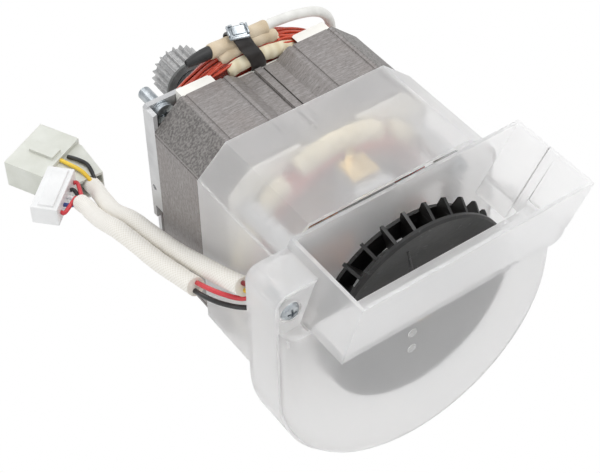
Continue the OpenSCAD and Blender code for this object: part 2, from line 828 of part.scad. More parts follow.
module strap() {
    strap_w = 6;
    color([0.13, 0.13, 0.14]) translate([-2, 0, 0]) rotate([90, 0, 90]) linear_extrude(strap_w) difference() {
        strap_outline(strap_t + 0.1);
        strap_outline(0.1);
    }
}

module strap_buckle() {
    size = 8.4;
    t = 1;
    color([0.82, 0.84, 0.86]) translate([1, roll_y, roll_z + roll_r + strap_t + 0.1]) {
        translate([-size / 2, -size / 2, 0]) cube([size, size, t]);
        for (s = [-1, 1]) translate([s * (size / 2 - t / 2) - t / 2, -size / 2, t]) cube([t, size, 1.6]);
        translate([-size / 2 + 2.4, -1.2, t]) cube([size - 3.4, 2.4, 1.2]);
    }
}

// Sleeving of the cut-out's return lead, over the coil to the far side of the core
loop_path = [
    [9.1, 1.5, 50.4], [12, 1.8, 49.6], [16.3, 2, 48.7], [22.5, 2, 47.8], [28.3, 2, 46.7], [31.4, 2, 45.8],
    [34.1, 2, 44.2], [36.4, 2, 41.8], [37.5, 2, 39.2], [38.4, 2, 36], [38.9, 2, 31.8]
];

module loop_sleeving() {
    color([0.95, 0.94, 0.9]) sweep(loop_path, 1.9, 10);
}

// Half outline of the volute's ring wall: radius against depth, rounded at its front edge
function edge_arc(r, b, round_r) =
    round_r > 0 ? [for (i = [0:6]) [r - round_r + round_r * cos(15 * i), b - round_r + round_r * sin(15 * i)]] : [[r, b]];

function volute_profile(r, a, b, round_r, inner = 0) = concat([[inner, a], [r, a]], edge_arc(r, b, round_r), [[inner, b]]);

// Solid of the U-shaped volute: a turned lower half and straight sides up to the given heights
module volute_solid(r, a, b, round_r, left_top, right_top) {
    translate([0, 0, volute_z]) {
        rotate([0, 180, 0]) turned(180) polygon(volute_profile(r, a, b, round_r));
        intersection() {
            linear_extrude(left_top - volute_z) {
                profile = volute_profile(r, a, b, round_r);
                polygon([for (p = profile) [-p[0], -p[1]]]);
            }
            translate([-2 * r, -b - 1, -1]) cube([2 * r, b - a + 2, 200]);
        }
        linear_extrude(right_top - volute_z) {
            profile = volute_profile(r, a, b, round_r);
            polygon([for (p = profile) [p[0], -p[1]]]);
        }
    }
}

// Outline of the duct between the ledge and its mouth, inset by k
module duct_outline(k, bottom, top) {
    s_left = (mouth_left - ledge_left) / (mouth_z - ledge_z);
    s_right = (mouth_right - ledge_right) / (mouth_z - ledge_z);
    polygon([
        [ledge_left + s_left * (bottom - ledge_z) + k, bottom],
        [ledge_left + s_left * (top - ledge_z) + k, top],
        [ledge_right + s_right * (top - ledge_z) - k, top],
        [ledge_right + s_right * (bottom - ledge_z) - k, bottom]
    ]);
}

// The same outline with its lower right corner rounded, for the box in front of the face
module duct_box_outline(k, top) {
    round_r = 5;
    cx = ledge_right - 2.2;
    cz = ledge_z + round_r;
    translate([cx, cz]) circle(round_r - k, $fn = 48);
    duct_outline(k, cz, top);
    difference() {
        duct_outline(k, ledge_z + k, cz);
        translate([cx, ledge_z - 1]) square([20, round_r + 1]);
    }
}

// Slope that carries the volute's right side in to the foot of the duct
module neck_outline(k) {
    polygon([
        [-20, neck_z - 4], [volute_r - k, neck_z - 4], [volute_r - k, neck_z],
        [neck_x - k, ledge_z], [ledge_right - k, ledge_z + 1], [-20, ledge_z + 1]
    ]);
}

// Half-space below that slope, with the cover's rounded edge
module slope_solid(k, a, b, round_r) {
    angle = atan2(volute_r - neck_x, ledge_z - neck_z);
    profile = volute_profile(0, a, b, round_r, -150);
    translate([volute_r - k, 0, neck_z]) rotate([0, -angle, 0]) translate([0, 0, -120])
        linear_extrude(240) polygon([for (p = profile) [p[0], -p[1]]]);
}

// Solid of the cover below the ledge
module cover_solid(k, a, b, round_r, top) {
    intersection() {
        volute_solid(volute_r - k, a, b, round_r, top, top);
        slope_solid(k, a - 1, b, round_r);
    }
}

// The cheek beside the duct on the left, with rounded corner
module cheek_outline(k) {
    union() {
        polygon([
            [-volute_r + k, volute_z], [-volute_r + k, cheek_top - cheek_r],
            [-volute_r + cheek_r, cheek_top - k], [mouth_left + 2 * k, cheek_top - k], [ledge_left, ledge_z],
            [-20, ledge_z], [-20, volute_z]
        ]);
        translate([-volute_r + cheek_r, cheek_top - cheek_r]) circle(cheek_r - k, $fn = 32);
    }
}

module shroud() {
    g = shroud_gap + wall;
    back_b = volute_start + wall;
    color([0.9, 0.91, 0.92, 0.55]) difference() {
        union() {
            along(shroud_start, volute_start) difference() {
                core_outline(g);
                core_outline(shroud_gap);
            }
            difference() {
                union() {
                    volute_solid(volute_r, volute_start, seam_at, 0, volute_z + 1, volute_z + 1);
                    along(volute_start, seam_at) {
                        cheek_outline(0);
                        neck_outline(0);
                        duct_outline(0, ledge_z - 2, mouth_z);
                        translate([-volute_r, volute_z]) square([2 * volute_r, neck_z - volute_z]);
                    }
                }
                volute_solid(volute_r - wall, back_b, seam_at + 1, 0, volute_z + 1, volute_z + 1);
                along(back_b, seam_at + 1) {
                    cheek_outline(wall);
                    neck_outline(wall);
                    duct_outline(wall, ledge_z - 3, mouth_z + 5);
                    translate([-volute_r + wall, volute_z]) square([2 * (volute_r - wall), neck_z - volute_z]);
                }
            }
            along(back_b, seam_at) difference() {
                duct_outline(0, ledge_z - 4, mouth_z);
                duct_outline(wall, ledge_z - 5, mouth_z + 5);
            }
            translate([cover_screw_x, 0, cover_screw_z]) along(volute_start, seam_at) circle(cover_screw_r + boss_wall);
        }
        translate([cover_screw_x, 0, cover_screw_z]) along(lug_a, seam_at + 1) circle(cover_screw_r + boss_wall + 0.5);
        ring(volute_start - 1, back_b + 1, eye_r);
        translate([cover_screw_x, 0, cover_screw_z]) along(volute_start + 4, seam_at + 1) circle(cover_screw_r - 0.2);
        translate([-core_half_w - 10, -volute_start + 2, 4]) cube([12, 12, 18]);
    }
}

module front_cover() {
    face_b = face_at - wall;
    skin = 1;
    color([0.9, 0.91, 0.92, 0.55]) {
        difference() {
            union() {
                cover_solid(skin, seam_at, face_at, cover_round - 0.3, ledge_z);
                along(seam_at, face_at - 0.5) duct_outline(0, ledge_z - 0.01, mouth_z);
                along(face_at - 0.5, duct_front) duct_box_outline(0, mouth_z);
            }
            cover_solid(skin + wall, seam_at - 1, face_b, cover_round - wall, ledge_z);
            along(seam_at - 1, face_b) duct_outline(wall, ledge_z - 1, mouth_z + 5);
            along(face_b - 0.01, duct_front - wall) duct_box_outline(wall, mouth_z + 5);
        }
        lug_plate();
    }
}

// The cover's plate in the cheek's mouth, with the countersink of its screw
module lug_plate() {
    x0 = -volute_r + wall + 0.2;
    top = cheek_top - wall - 0.2;
    lean = (mouth_left - ledge_left) / (mouth_z - ledge_z);
    difference() {
        union() {
            along(lug_a, seam_at) polygon([
                [x0, ledge_z - 4], [x0, top - 3], [x0 + 3, top], [ledge_left - 0.4 + lean * (top - ledge_z), top],
                [ledge_left - 0.4, ledge_z], [ledge_left - 0.4, ledge_z - 4]
            ]);
            along(lug_a, face_at - wall - 0.5) translate([x0, ledge_z - 4]) square([ledge_left - 0.4 - x0, 3]);
        }
        translate([cover_screw_x, 0, cover_screw_z]) {
            along(lug_a - 1, seam_at + 1) circle(cover_screw_r + 0.15);
            along(screw_seat, seam_at + 1) circle(4.1);
        }
    }
}

module cover_screw() {
    head_at = screw_seat;
    color([0.82, 0.84, 0.86]) translate([cover_screw_x, 0, cover_screw_z]) difference() {
        union() {
            ring(lug_a - 9, head_at, cover_screw_r - 0.2);
            turned() polygon([[0, head_at], [3.6, head_at], [3.4, head_at + 1], [2.6, head_at + 1.9], [0, head_at + 2.3]]);
        }
        rotate([90, 0, 0]) translate([0, 0, head_at + 1.9]) {
            cube([3.6, 0.8, 1.6], center = true);
            cube([0.8, 3.6, 1.6], center = true);
        }
    }
}

// Routes of the leads, from the shroud's cable slot down to the bench
upper_sleeve_path = [
    [-50.5, -71, 15], [-51, -58, 9], [-51, -42, 1.5], [-51, -26, -5.5], [-51, -10, -10.8], [-50.6, 4, -15.6],
    [-48.6, 18, -25], [-45.6, 31, -35], [-41.8, 44, -44], [-37.8, 57, -52.4], [-34.8, 67.5, -58.4], [-33.6, 77.6, -61.4]
];
lower_sleeve_path = [
    [-58.2, -52, 3], [-58.4, -38, -2], [-58.4, -25, -6.6], [-58.2, -11, -10.7], [-58, 4, -15.4],
    [-56.1, 17, -24], [-52.8, 29.6, -34], [-49.6, 42.4, -43], [-48.2, 50, -46.8], [-47.7, 56.2, -49.6]
];
branch_red_path = [
    [-57.4, -51.6, 4.2], [-57.2, -57, 6.6], [-55.4, -63.6, 8.2], [-51.6, -69.6, 8.6],
    [-48, -73.4, 10.6], [-44, -75.7, 10], [-38, -75.7, 10]
];
branch_black_path = [
    [-59, -52.5, 1.85], [-58.8, -58, 4], [-56.6, -64.8, 5.2], [-52.6, -71, 6],
    [-48, -75, 6.8], [-44, -75.7, 6], [-38, -75.7, 6]
];
entry_red_path = [[-50.5, -70.4, 16.4], [-50.3, -72.4, 17.4], [-48, -75, 19], [-44, -75.7, 19.6], [-38, -75.7, 19.6]];
entry_yellow_path = [[-50.5, -71.65, 13.8], [-50.4, -74, 15], [-48, -76.6, 15.8], [-44, -75.7, 15.4], [-38, -75.7, 15.4]];

module upper_lead_sleeve() {
    color([0.93, 0.89, 0.8]) sweep(upper_sleeve_path, sleeve_d / 2, 10);
}

module lower_lead_sleeve() {
    color([0.93, 0.89, 0.8]) sweep(lower_sleeve_path, sleeve_d / 2, 10);
}

module branch_wire_red() {
    color([0.8, 0.1, 0.12]) sweep(branch_red_path, wire_d / 2);
}

module branch_wire_black() {
    color([0.06, 0.06, 0.06]) sweep(branch_black_path, wire_d / 2);
}

module entry_wire_red() {
    color([0.5, 0.06, 0.06]) sweep(entry_red_path, wire_d / 2);
}

module entry_wire_yellow() {
    color([0.9, 0.72, 0.1]) sweep(entry_yellow_path, wire_d / 2);
}

large_at = [-43.4, 97.7, floor_z];
large_turn = 26;
small_at = [-53.9, 68.1, -56];
small_turn = 43;

// Nylon housing with six sockets and a tapered skirt round the wires
module large_connector() {
    w = 27;
    body_l = 19.6;
    skirt_l = 19;
    h = 13.4;
    skirt_t = 1.2;
    color([0.9, 0.92, 0.86, 0.8]) difference() {
        translate(large_at) rotate([0, 0, large_turn]) difference() {
            union() {
                translate([-w / 2, -body_l / 2, 0]) cube([w, body_l, h]);
                linear_extrude(h - 2.4) polygon([
                    [w / 2 - 1, -body_l / 2 + 1], [w / 2 - 1, -body_l / 2 - 2], [3, -body_l / 2 - skirt_l],
                    [-9, -body_l / 2 - skirt_l + 6], [-w / 2 + 1, -body_l / 2 + 1]
                ]);
                translate([-3, -body_l / 2 + 2, h]) cube([6, 12, 1.4]);
            }
            translate([0, 0, skirt_t]) linear_extrude(h - 2.4 - 2 * skirt_t) polygon([
                [w / 2 - 2.4, -body_l / 2 - 1], [w / 2 - 2.4, -body_l / 2 - 2], [3.4, -body_l / 2 - skirt_l + 2],
                [2, -body_l / 2 - skirt_l - 1], [-8, -body_l / 2 - skirt_l + 5], [-w / 2 + 3, -body_l / 2 - 1]
            ]);
            for (i = [-1:1], j = [0:1]) translate([i * 8.2 - 1.95, -body_l / 2 + 4, 1.7 + 5.8 * j]) cube([3.9, body_l, 3.9]);
        }
        translate([-34.2, 72.5, -59.9]) rotate([-106.4, 0, -6.8]) cylinder(h = 14, r = sleeve_d / 2 + soft, center = true);
    }
}

large_yellow_path = [[-34.2, 78.3, -60.25], [-34.2, 80.6, -60.8], [-35.8, 83.6, -61.2], [-37.6, 86.4, -61.4], [-38.4, 88.1, -61.4]];
large_black_path = [[-32.7, 77.6, -62.3], [-32.2, 80.4, -62.8], [-31.2, 85, -62.2], [-32, 89, -61.6], [-32.8, 90.8, -61.5]];

module large_connector_wires() {
    color([0.9, 0.72, 0.1]) sweep(large_yellow_path, wire_d / 2);
    color([0.06, 0.06, 0.06]) sweep(large_black_path, wire_d / 2);
}

// Five-way wire-to-board housing
module small_connector() {
    w = 24.6;
    l = 11.6;
    h = 9;
    color([0.97, 0.97, 0.96]) translate(small_at) rotate([0, 0, small_turn]) difference() {
        union() {
            translate([-w / 2, -l / 2, 0]) cube([w, l, h]);
            translate([-w / 2 + 1.5, -l / 2 + 2, h]) cube([w - 3, l - 5, 0.8]);
        }
        for (i = [-2:2]) translate([i * 4.3 - 1.5, l / 2 - 8, 2.4]) cube([3, 10, 4]);
    }
}

// Where each wire enters the small connector, and where it enters the lower sleeve
small_from = [[-56.2, 58, -51.4], [-53.1, 60.9, -51.4], [-49.9, 63.9, -51.4], [-46.8, 66.8, -51.4], [-43.6, 69.7, -51.4]];
small_to = [[-49, 57.2, -48.2], [-49.4, 56, -51], [-47.7, 56.5, -49.7], [-46.4, 55.7, -51.2], [-46.1, 56.9, -48.4]];
small_colors = [[0.8, 0.1, 0.12], [0.1, 0.16, 0.5], [0.95, 0.95, 0.95], [0.06, 0.06, 0.06], [0.8, 0.1, 0.12]];

module small_connector_wires() {
    out = [0.68, -0.73, 0];
    in = [0.22, 0.88, -0.42];
    for (i = [0:4])
        color(small_colors[i]) sweep([small_from[i], small_from[i] + 1.6 * out, small_to[i] + 2.2 * in, small_to[i]], wire_d / 2);
}

stator_core();
drive_end_insulator();
fan_end_insulator();
upper_field_coil();
lower_field_coil();
armature_core();
armature_winding();
commutator();
commutator_hub();
shaft();
drive_bracket();
mounting_screws();
spring_washers();
flat_washers();
core_screws();
drive_bearing_outer();
drive_bearing_balls();
drive_bearing_inner();
fan_bracket();
fan_bearing_outer();
fan_bearing_balls();
fan_bearing_inner();
upper_brush_holder();
lower_brush_holder();
upper_brush();
lower_brush();
upper_brush_spring();
lower_brush_spring();
upper_brush_cap();
lower_brush_cap();
pulley();
pulley_disc();
pulley_spacer();
pulley_clip();
fan();
fan_nut();
coil_tape();
upper_fan_end_tapes();
lower_fan_end_tapes();
cutout_sleeve();
thermal_cutout();
end_sleeve();
strap();
strap_buckle();
loop_sleeving();
shroud();
front_cover();
cover_screw();
upper_lead_sleeve();
lower_lead_sleeve();
branch_wire_red();
branch_wire_black();
entry_wire_red();
entry_wire_yellow();
large_connector();
large_connector_wires();
small_connector();
small_connector_wires();
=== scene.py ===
import json
import math

import bmesh
import bpy
from mathutils import Matrix, Vector


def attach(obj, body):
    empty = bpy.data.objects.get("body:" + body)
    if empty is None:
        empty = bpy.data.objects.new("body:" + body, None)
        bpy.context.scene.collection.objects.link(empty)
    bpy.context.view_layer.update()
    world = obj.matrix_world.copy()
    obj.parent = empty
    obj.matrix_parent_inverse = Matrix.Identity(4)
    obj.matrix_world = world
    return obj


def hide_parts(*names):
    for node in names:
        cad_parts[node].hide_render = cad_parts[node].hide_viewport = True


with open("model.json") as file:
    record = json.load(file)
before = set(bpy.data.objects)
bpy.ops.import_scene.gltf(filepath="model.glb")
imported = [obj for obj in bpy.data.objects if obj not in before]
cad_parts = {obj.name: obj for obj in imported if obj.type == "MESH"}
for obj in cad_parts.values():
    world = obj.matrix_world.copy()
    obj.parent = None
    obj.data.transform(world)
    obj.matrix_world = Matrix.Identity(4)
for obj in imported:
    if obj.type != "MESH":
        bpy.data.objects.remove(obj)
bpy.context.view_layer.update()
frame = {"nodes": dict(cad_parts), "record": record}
cad = frame["nodes"]
MM = 0.001
scene = bpy.context.scene


def deselect():
    if bpy.context.mode != "OBJECT":
        bpy.ops.object.mode_set(mode="OBJECT")
    bpy.ops.object.select_all(action="DESELECT")


def activate(obj):
    deselect()
    obj.select_set(True)
    bpy.context.view_layer.objects.active = obj


deselect()

# Camera

# Fitted to the photo: the camera's own axes and its place in metres
RIGHT = Vector((0.8139, -0.5808, -0.0134))
UP = Vector((0.4271, 0.5825, 0.6916))
BACK = Vector((-0.3939, -0.5686, 0.7221))
CAMERA_PLACE = Vector((-0.2422, -0.3811, 0.4188))
cam_data = bpy.data.cameras.new("camera")
cam_data.lens = 97.6
cam_data.sensor_width = 36
cam_data.clip_start = 0.01
cam_data.clip_end = 20
camera = bpy.data.objects.new("camera", cam_data)
scene.collection.objects.link(camera)
turn = Matrix((RIGHT, UP, BACK)).transposed().to_4x4()
camera.matrix_world = Matrix.Translation(CAMERA_PLACE) @ turn
scene.camera = camera

# Material nodes


class Mat:
    """A node material under construction, with short helpers for the nodes it uses."""

    def __init__(self, name):
        self.m = bpy.data.materials.new(name)
        self.m.use_nodes = True
        self.t = self.m.node_tree
        self.t.nodes.clear()
        self.out = self.t.nodes.new("ShaderNodeOutputMaterial")
        self.coord = self.t.nodes.new("ShaderNodeTexCoord")

    def link(self, a, b):
        self.t.links.new(a, b)

    def put(self, socket, value):
        if hasattr(value, "is_output"):
            self.link(value, socket)
        elif isinstance(value, (tuple, list)) and len(value) == 3 and socket.type == "RGBA":
            socket.default_value = (*value, 1)
        else:
            socket.default_value = value

    def mapped(self, scale=(1, 1, 1), rotate=(0, 0, 0), source="Object"):
        n = self.t.nodes.new("ShaderNodeMapping")
        n.inputs["Scale"].default_value = scale
        n.inputs["Rotation"].default_value = rotate
        self.link(self.coord.outputs[source], n.inputs["Vector"])
        return n.outputs["Vector"]

    def noise(self, vector, scale, detail=3, rough=0.55, distortion=0.0):
        n = self.t.nodes.new("ShaderNodeTexNoise")
        self.link(vector, n.inputs["Vector"])
        n.inputs["Scale"].default_value = scale
        n.inputs["Detail"].default_value = detail
        n.inputs["Roughness"].default_value = rough
        n.inputs["Distortion"].default_value = distortion
        return n.outputs["Fac"]

    def wave(self, vector, scale, distortion=0.0, detail=1, direction="X"):
        n = self.t.nodes.new("ShaderNodeTexWave")
        n.bands_direction = direction
        self.link(vector, n.inputs["Vector"])
        n.inputs["Scale"].default_value = scale
        n.inputs["Distortion"].default_value = distortion
        n.inputs["Detail"].default_value = detail
        return n.outputs["Fac"]

    def ramp(self, fac, stops):
        n = self.t.nodes.new("ShaderNodeValToRGB")
        self.link(fac, n.inputs["Fac"])
        ramp = n.color_ramp
        while len(ramp.elements) < len(stops):
            ramp.elements.new(0.5)
        for element, (place, colour) in zip(ramp.elements, stops):
            element.position = place
            element.color = (*colour, 1)
        return n.outputs["Color"]

    def math(self, kind, a, b=0.0, c=0.0, clamp=False):
        n = self.t.nodes.new("ShaderNodeMath")
        n.operation = kind
        n.use_clamp = clamp
        for socket, value in zip(n.inputs, (a, b, c)):
            self.put(socket, value)
        return n.outputs[0]

    def mask(self, fac, low, high, top=1.0):
        """A grey ramp that is 0 below low and top above high."""
        return self.ramp(fac, [(low, (0, 0, 0)), (high, (top, top, top))])

    def xyz(self):
        n = self.t.nodes.new("ShaderNodeSeparateXYZ")
        self.link(self.coord.outputs["Object"], n.inputs[0])
        return n.outputs

    def mix(self, fac, a, b):
        n = self.t.nodes.new("ShaderNodeMix")
        n.data_type = "RGBA"
        self.put(n.inputs["Factor"], fac)
        self.put(n.inputs[6], a)
        self.put(n.inputs[7], b)
        return n.outputs[2]

    def bump(self, height, strength, distance, normal=None):
        n = self.t.nodes.new("ShaderNodeBump")
        n.inputs["Strength"].default_value = strength
        n.inputs["Distance"].default_value = distance
        self.link(height, n.inputs["Height"])
        if normal is not None:
            self.link(normal, n.inputs["Normal"])
        return n.outputs["Normal"]

    def surface(self, colour, rough=0.5, metal=0.0, normal=None, **more):
        n = self.t.nodes.new("ShaderNodeBsdfPrincipled")
        self.put(n.inputs["Base Color"], colour)
        self.put(n.inputs["Roughness"], rough)
        self.put(n.inputs["Metallic"], metal)
        if normal is not None:
            self.link(normal, n.inputs["Normal"])
        for key, value in more.items():
            self.put(n.inputs[key.replace("_", " ")], value)
        return n.outputs["BSDF"]

    def done(self, shader):
        self.link(shader, self.out.inputs["Surface"])
        return self.m


def speckle(m, dark, light, scale, low=0.35, high=0.65, detail=4):
    """A colour between two tones that follows a soft noise."""
    return m.ramp(m.noise(m.mapped(), scale, detail), [(low, dark), (high, light)])


# How deep grain goes, in metres
GRAIN = 0.00008
FINE_GRAIN = 0.00006
# How far roughness varies over a surface
PLASTIC_VARIES = 0.16
METAL_VARIES = 0.2


def plastic(name, dark, light, rough, scale=90, bump=0.15, grain=2500, **more):
    """A moulded or lacquered surface with a faint mottle; scale and grain are per metre."""
    m = Mat(name)
    colour = speckle(m, dark, light, scale)
    fine = m.noise(m.mapped(), grain, 2)
    wear = m.noise(m.mapped(), scale * 2, 3)
    r = m.math("MULTIPLY_ADD", wear, PLASTIC_VARIES, rough - PLASTIC_VARIES / 2)
    return m.done(m.surface(colour, r, 0, m.bump(fine, bump, GRAIN), **more))


def metal(name, dark, light, rough, scale=120, bump=0.2, grain=1800, stretch=(1, 1, 1), metallic=1.0):
    """Bare or plated metal; stretch draws its grain out along an axis, as turning or grinding does."""
    m = Mat(name)
    colour = speckle(m, dark, light, scale)
    fine = m.noise(m.mapped(stretch), grain, 4)
    wear = m.noise(m.mapped(stretch), scale * 3, 4)
    r = m.math("MULTIPLY_ADD", wear, METAL_VARIES, rough - METAL_VARIES / 2)
    return m.done(m.surface(colour, r, metallic, m.bump(fine, bump, FINE_GRAIN)))


# The stack's chamfered corners: a plane's normal in X and Z, how steep the mask is, and where it starts
CHAMFER_X = 0.6769
CHAMFER_Z = 0.7361
CHAMFER_STEEP = 2500
CHAMFER_START = -135.96
CHAMFER_SHARE = 0.72


def laminated(name):
    """Ground edges of stacked steel sheets: grey-brown with fine streaks, darker at the corners."""
    m = Mat(name)
    sheets = m.noise(m.mapped((0.05, 1, 0.05)), 2300, 2)
    grain = m.noise(m.mapped((0.35, 1, 0.35)), 1500, 3)
    specks = m.noise(m.mapped((0.7, 1, 0.7)), 1900, 1)
    blotch = m.noise(m.mapped(), 70, 4)
    tones = [(0.3, (0.235, 0.215, 0.205)), (0.5, (0.30, 0.28, 0.27)), (0.72, (0.365, 0.345, 0.335))]
    base = m.ramp(grain, tones)
    base = m.mix(m.mask(sheets, 0.44, 0.58), m.mix(0.35, base, (0.17, 0.15, 0.14)), base)
    base = m.mix(m.mask(specks, 0.62, 0.72, 0.6), base, (0.12, 0.105, 0.10))
    base = m.mix(m.mask(blotch, 0.5, 0.8, 0.35), base, (0.27, 0.225, 0.2))
    place = m.xyz()
    across, up = (m.math("ABSOLUTE", place[i]) for i in (0, 2))
    reach = m.math("MULTIPLY_ADD", across, CHAMFER_X, m.math("MULTIPLY", up, CHAMFER_Z))
    corner = m.math("MULTIPLY_ADD", reach, CHAMFER_STEEP, CHAMFER_START, clamp=True)
    coarse = m.noise(m.mapped((0.8, 1, 0.8)), 1300, 2)
    dark = m.ramp(coarse, [(0.38, (0.085, 0.08, 0.075)), (0.62, (0.27, 0.255, 0.24))])
    base = m.mix(m.math("MULTIPLY", corner, CHAMFER_SHARE), base, dark)
    normal = m.bump(sheets, 0.35, GRAIN, m.bump(specks, 0.35, GRAIN))
    rough = m.math("MULTIPLY_ADD", blotch, 0.2, 0.42)
    return m.done(m.surface(base, rough, 0.35, normal))


def wound(name, dark, light, pitch=0.0009):
    """Enamelled wire wound round the shaft: strands follow radius and depth, pitch metres apart."""
    m = Mat(name)
    x, y, z = m.xyz()
    r = m.math("SQRT", m.math("MULTIPLY_ADD", z, z, m.math("MULTIPLY", x, x)))
    wobble = m.math("MULTIPLY", m.noise(m.mapped(), 60, 2), pitch * 1.5)

    def strand(distance):
        return m.math("SINE", m.math("MULTIPLY", m.math("ADD", distance, wobble), 2 * math.pi / pitch))

    height = m.math("ADD", strand(r), strand(y))
    tone = m.ramp(m.math("MULTIPLY_ADD", height, 0.25, 0.5), [(0.1, dark), (0.8, light)])
    return m.done(m.surface(tone, 0.28, 0.0, m.bump(height, 0.7, 0.0002), Coat_Weight=0.4))


# Roughness stays above 0.274 all over, because the renderer's noise filter leaves marks where a clear
# surface dips below it
FROST_ROUGH_LEAST = 0.278
FROST_VARIES = 0.05
# Stands for the light that the real wall scatters inside
FROST_GLOW = 0.045
FROST_TRANSLUCENT = 0.12


def frosted(name):
    """Natural translucent moulding: milky, with the colours of what lies behind it blurred."""
    m = Mat(name)
    cloud = m.noise(m.mapped(), 40, 3)
    tint = m.ramp(cloud, [(0.3, (0.95, 0.95, 0.95)), (0.7, (0.985, 0.98, 0.975))])
    fine = m.noise(m.mapped(), 1500, 2)
    ripple = m.noise(m.mapped(), 50, 2)
    normal = m.bump(ripple, 0.1, 0.0006, m.bump(fine, 0.1, 0.00005))
    rough = m.math("MULTIPLY_ADD", cloud, FROST_VARIES, FROST_ROUGH_LEAST)
    skin = m.surface(tint, rough, 0.0, normal, Transmission_Weight=0.85, IOR=1.22, Coat_Weight=0.25,
                     Coat_Roughness=0.25, Emission_Color=(1, 0.98, 0.965), Emission_Strength=FROST_GLOW)
    through = m.t.nodes.new("ShaderNodeBsdfTranslucent")
    m.put(through.inputs["Color"], tint)
    m.link(normal, through.inputs["Normal"])
    both = m.t.nodes.new("ShaderNodeMixShader")
    both.inputs[0].default_value = FROST_TRANSLUCENT
    m.link(skin, both.inputs[1])
    m.link(through.outputs[0], both.inputs[2])
    return m.done(both.outputs[0])


# Degrees between the braid's threads and the sleeve
BRAID_ANGLE = 36


def woven(name, dark, light, turns):
    """Braided sleeve on UV coordinates: u goes round it and v along it, in metres."""
    m = Mat(name)

    def band(slope):
        return m.wave(m.mapped(rotate=(0, 0, math.radians(slope)), source="UV"), turns, 0.3, 1, "X")

    a, b = band(BRAID_ANGLE), band(-BRAID_ANGLE)
    braid = m.math("MAXIMUM", a, b)
    cell = m.math("MULTIPLY_ADD", m.math("MULTIPLY", a, b), 0.5, m.math("MULTIPLY", braid, 0.5))
    tone = m.ramp(cell, [(0.1, dark), (0.7, light)])
    stain = m.noise(m.mapped(), 130, 3)
    tone = m.mix(m.mask(stain, 0.5, 0.85, 0.3), tone, dark)
    return m.done(m.surface(tone, 0.72, 0.0, m.bump(braid, 0.3, 0.00015), Sheen_Weight=0.2))


CLOTH_THREADS = 900


def wrapped(name, dark, light, pitch):
    """Cloth tape wound round the coil: fine weave and the edge of each turn."""
    m = Mat(name)
    across, along = (m.wave(m.mapped(), CLOTH_THREADS, 0.2, 1, axis) for axis in "XZ")
    weave = m.math("MULTIPLY", across, along)
    turns = m.wave(m.mapped((1, 0, 0.35)), pitch, 0.6, 2, "X")
    soft = m.noise(m.mapped(), 170, 3)
    height = m.math("MULTIPLY_ADD", turns, 0.8, m.math("MULTIPLY", weave, 0.35))
    shade = m.math("MULTIPLY_ADD", soft, 0.6, m.math("MULTIPLY", height, 0.35))
    tone = m.ramp(shade, [(0.2, dark), (0.75, light)])
    return m.done(m.surface(tone, 0.74, 0.0, m.bump(height, 0.5, 0.00025), Sheen_Weight=0.15))


def scratched(name, dark, light, rough):
    """Dark moulding with fine pale scuffs and a little dust."""
    m = Mat(name)
    colour = speckle(m, dark, light, 90)
    scuff = m.noise(m.mapped((1, 0.4, 3.2), (0, 0.5, 0)), 240, 2, 0.4, 1.2)
    dust = m.noise(m.mapped(), 900, 2)
    colour = m.mix(m.mask(scuff, 0.66, 0.71, 0.5), colour, (0.07, 0.07, 0.07))
    r = m.math("MULTIPLY_ADD", scuff, 0.25, rough - 0.1)
    return m.done(m.surface(colour, r, 0, m.bump(dust, 0.15, FINE_GRAIN, m.bump(scuff, 0.2, GRAIN))))


# Finishes by name

paint = {}


def finish_as(name, kind, *values, **more):
    paint[name] = kind(name, *values, **more)


finish_as("laminated_steel", laminated)
finish_as("insulator", plastic, (0.80, 0.78, 0.72), (0.88, 0.86, 0.81), 0.5)
finish_as("enamelled_wire", wound, (0.16, 0.012, 0.008), (0.62, 0.07, 0.03))
finish_as("armature_wire", wound, (0.24, 0.08, 0.03), (0.66, 0.3, 0.12), 0.0007)
finish_as("strand_wire", plastic, (0.42, 0.035, 0.012), (0.60, 0.075, 0.03), 0.26, scale=60,
          Coat_Weight=0.5)
finish_as("satin_black", plastic, (0.016, 0.014, 0.013), (0.035, 0.03, 0.028), 0.36, scale=160, bump=0.3,
          grain=1400)
finish_as("copper", metal, (0.5, 0.24, 0.13), (0.8, 0.46, 0.3), 0.3, stretch=(1, 14, 1))
finish_as("phenolic", plastic, (0.07, 0.045, 0.03), (0.13, 0.09, 0.06), 0.45)
finish_as("ground_steel", metal, (0.5, 0.51, 0.53), (0.68, 0.69, 0.7), 0.22, stretch=(0.1, 6, 0.1))
finish_as("cast_alloy", metal, (0.50, 0.50, 0.50), (0.64, 0.64, 0.64), 0.42, scale=70, bump=0.35,
          grain=900, metallic=0.55)
finish_as("zinc_plate", metal, (0.33, 0.36, 0.38), (0.56, 0.59, 0.61), 0.3, scale=300)
finish_as("bearing_steel", metal, (0.55, 0.56, 0.58), (0.7, 0.71, 0.73), 0.18)
finish_as("brass", metal, (0.55, 0.38, 0.14), (0.78, 0.58, 0.26), 0.3)
finish_as("carbon", plastic, (0.02, 0.02, 0.022), (0.05, 0.05, 0.055), 0.6)
finish_as("spring_steel", metal, (0.35, 0.36, 0.38), (0.55, 0.56, 0.58), 0.3)
finish_as("sintered_steel", metal, (0.36, 0.36, 0.36), (0.5, 0.5, 0.49), 0.55, scale=700, bump=0.5,
          grain=1500, metallic=0.4)
finish_as("dark_steel", metal, (0.09, 0.095, 0.09), (0.15, 0.155, 0.15), 0.45, metallic=0.3)
finish_as("black_plastic", scratched, (0.007, 0.0065, 0.006), (0.017, 0.016, 0.015), 0.36)
finish_as("cream_tape", wrapped, (0.68, 0.58, 0.38), (0.86, 0.79, 0.60), 90)
finish_as("beige_sleeve", wrapped, (0.52, 0.41, 0.27), (0.68, 0.57, 0.42), 40)
finish_as("white_sleeve", plastic, (0.70, 0.69, 0.65), (0.78, 0.77, 0.73), 0.5, scale=300, bump=0.3,
          grain=1300)
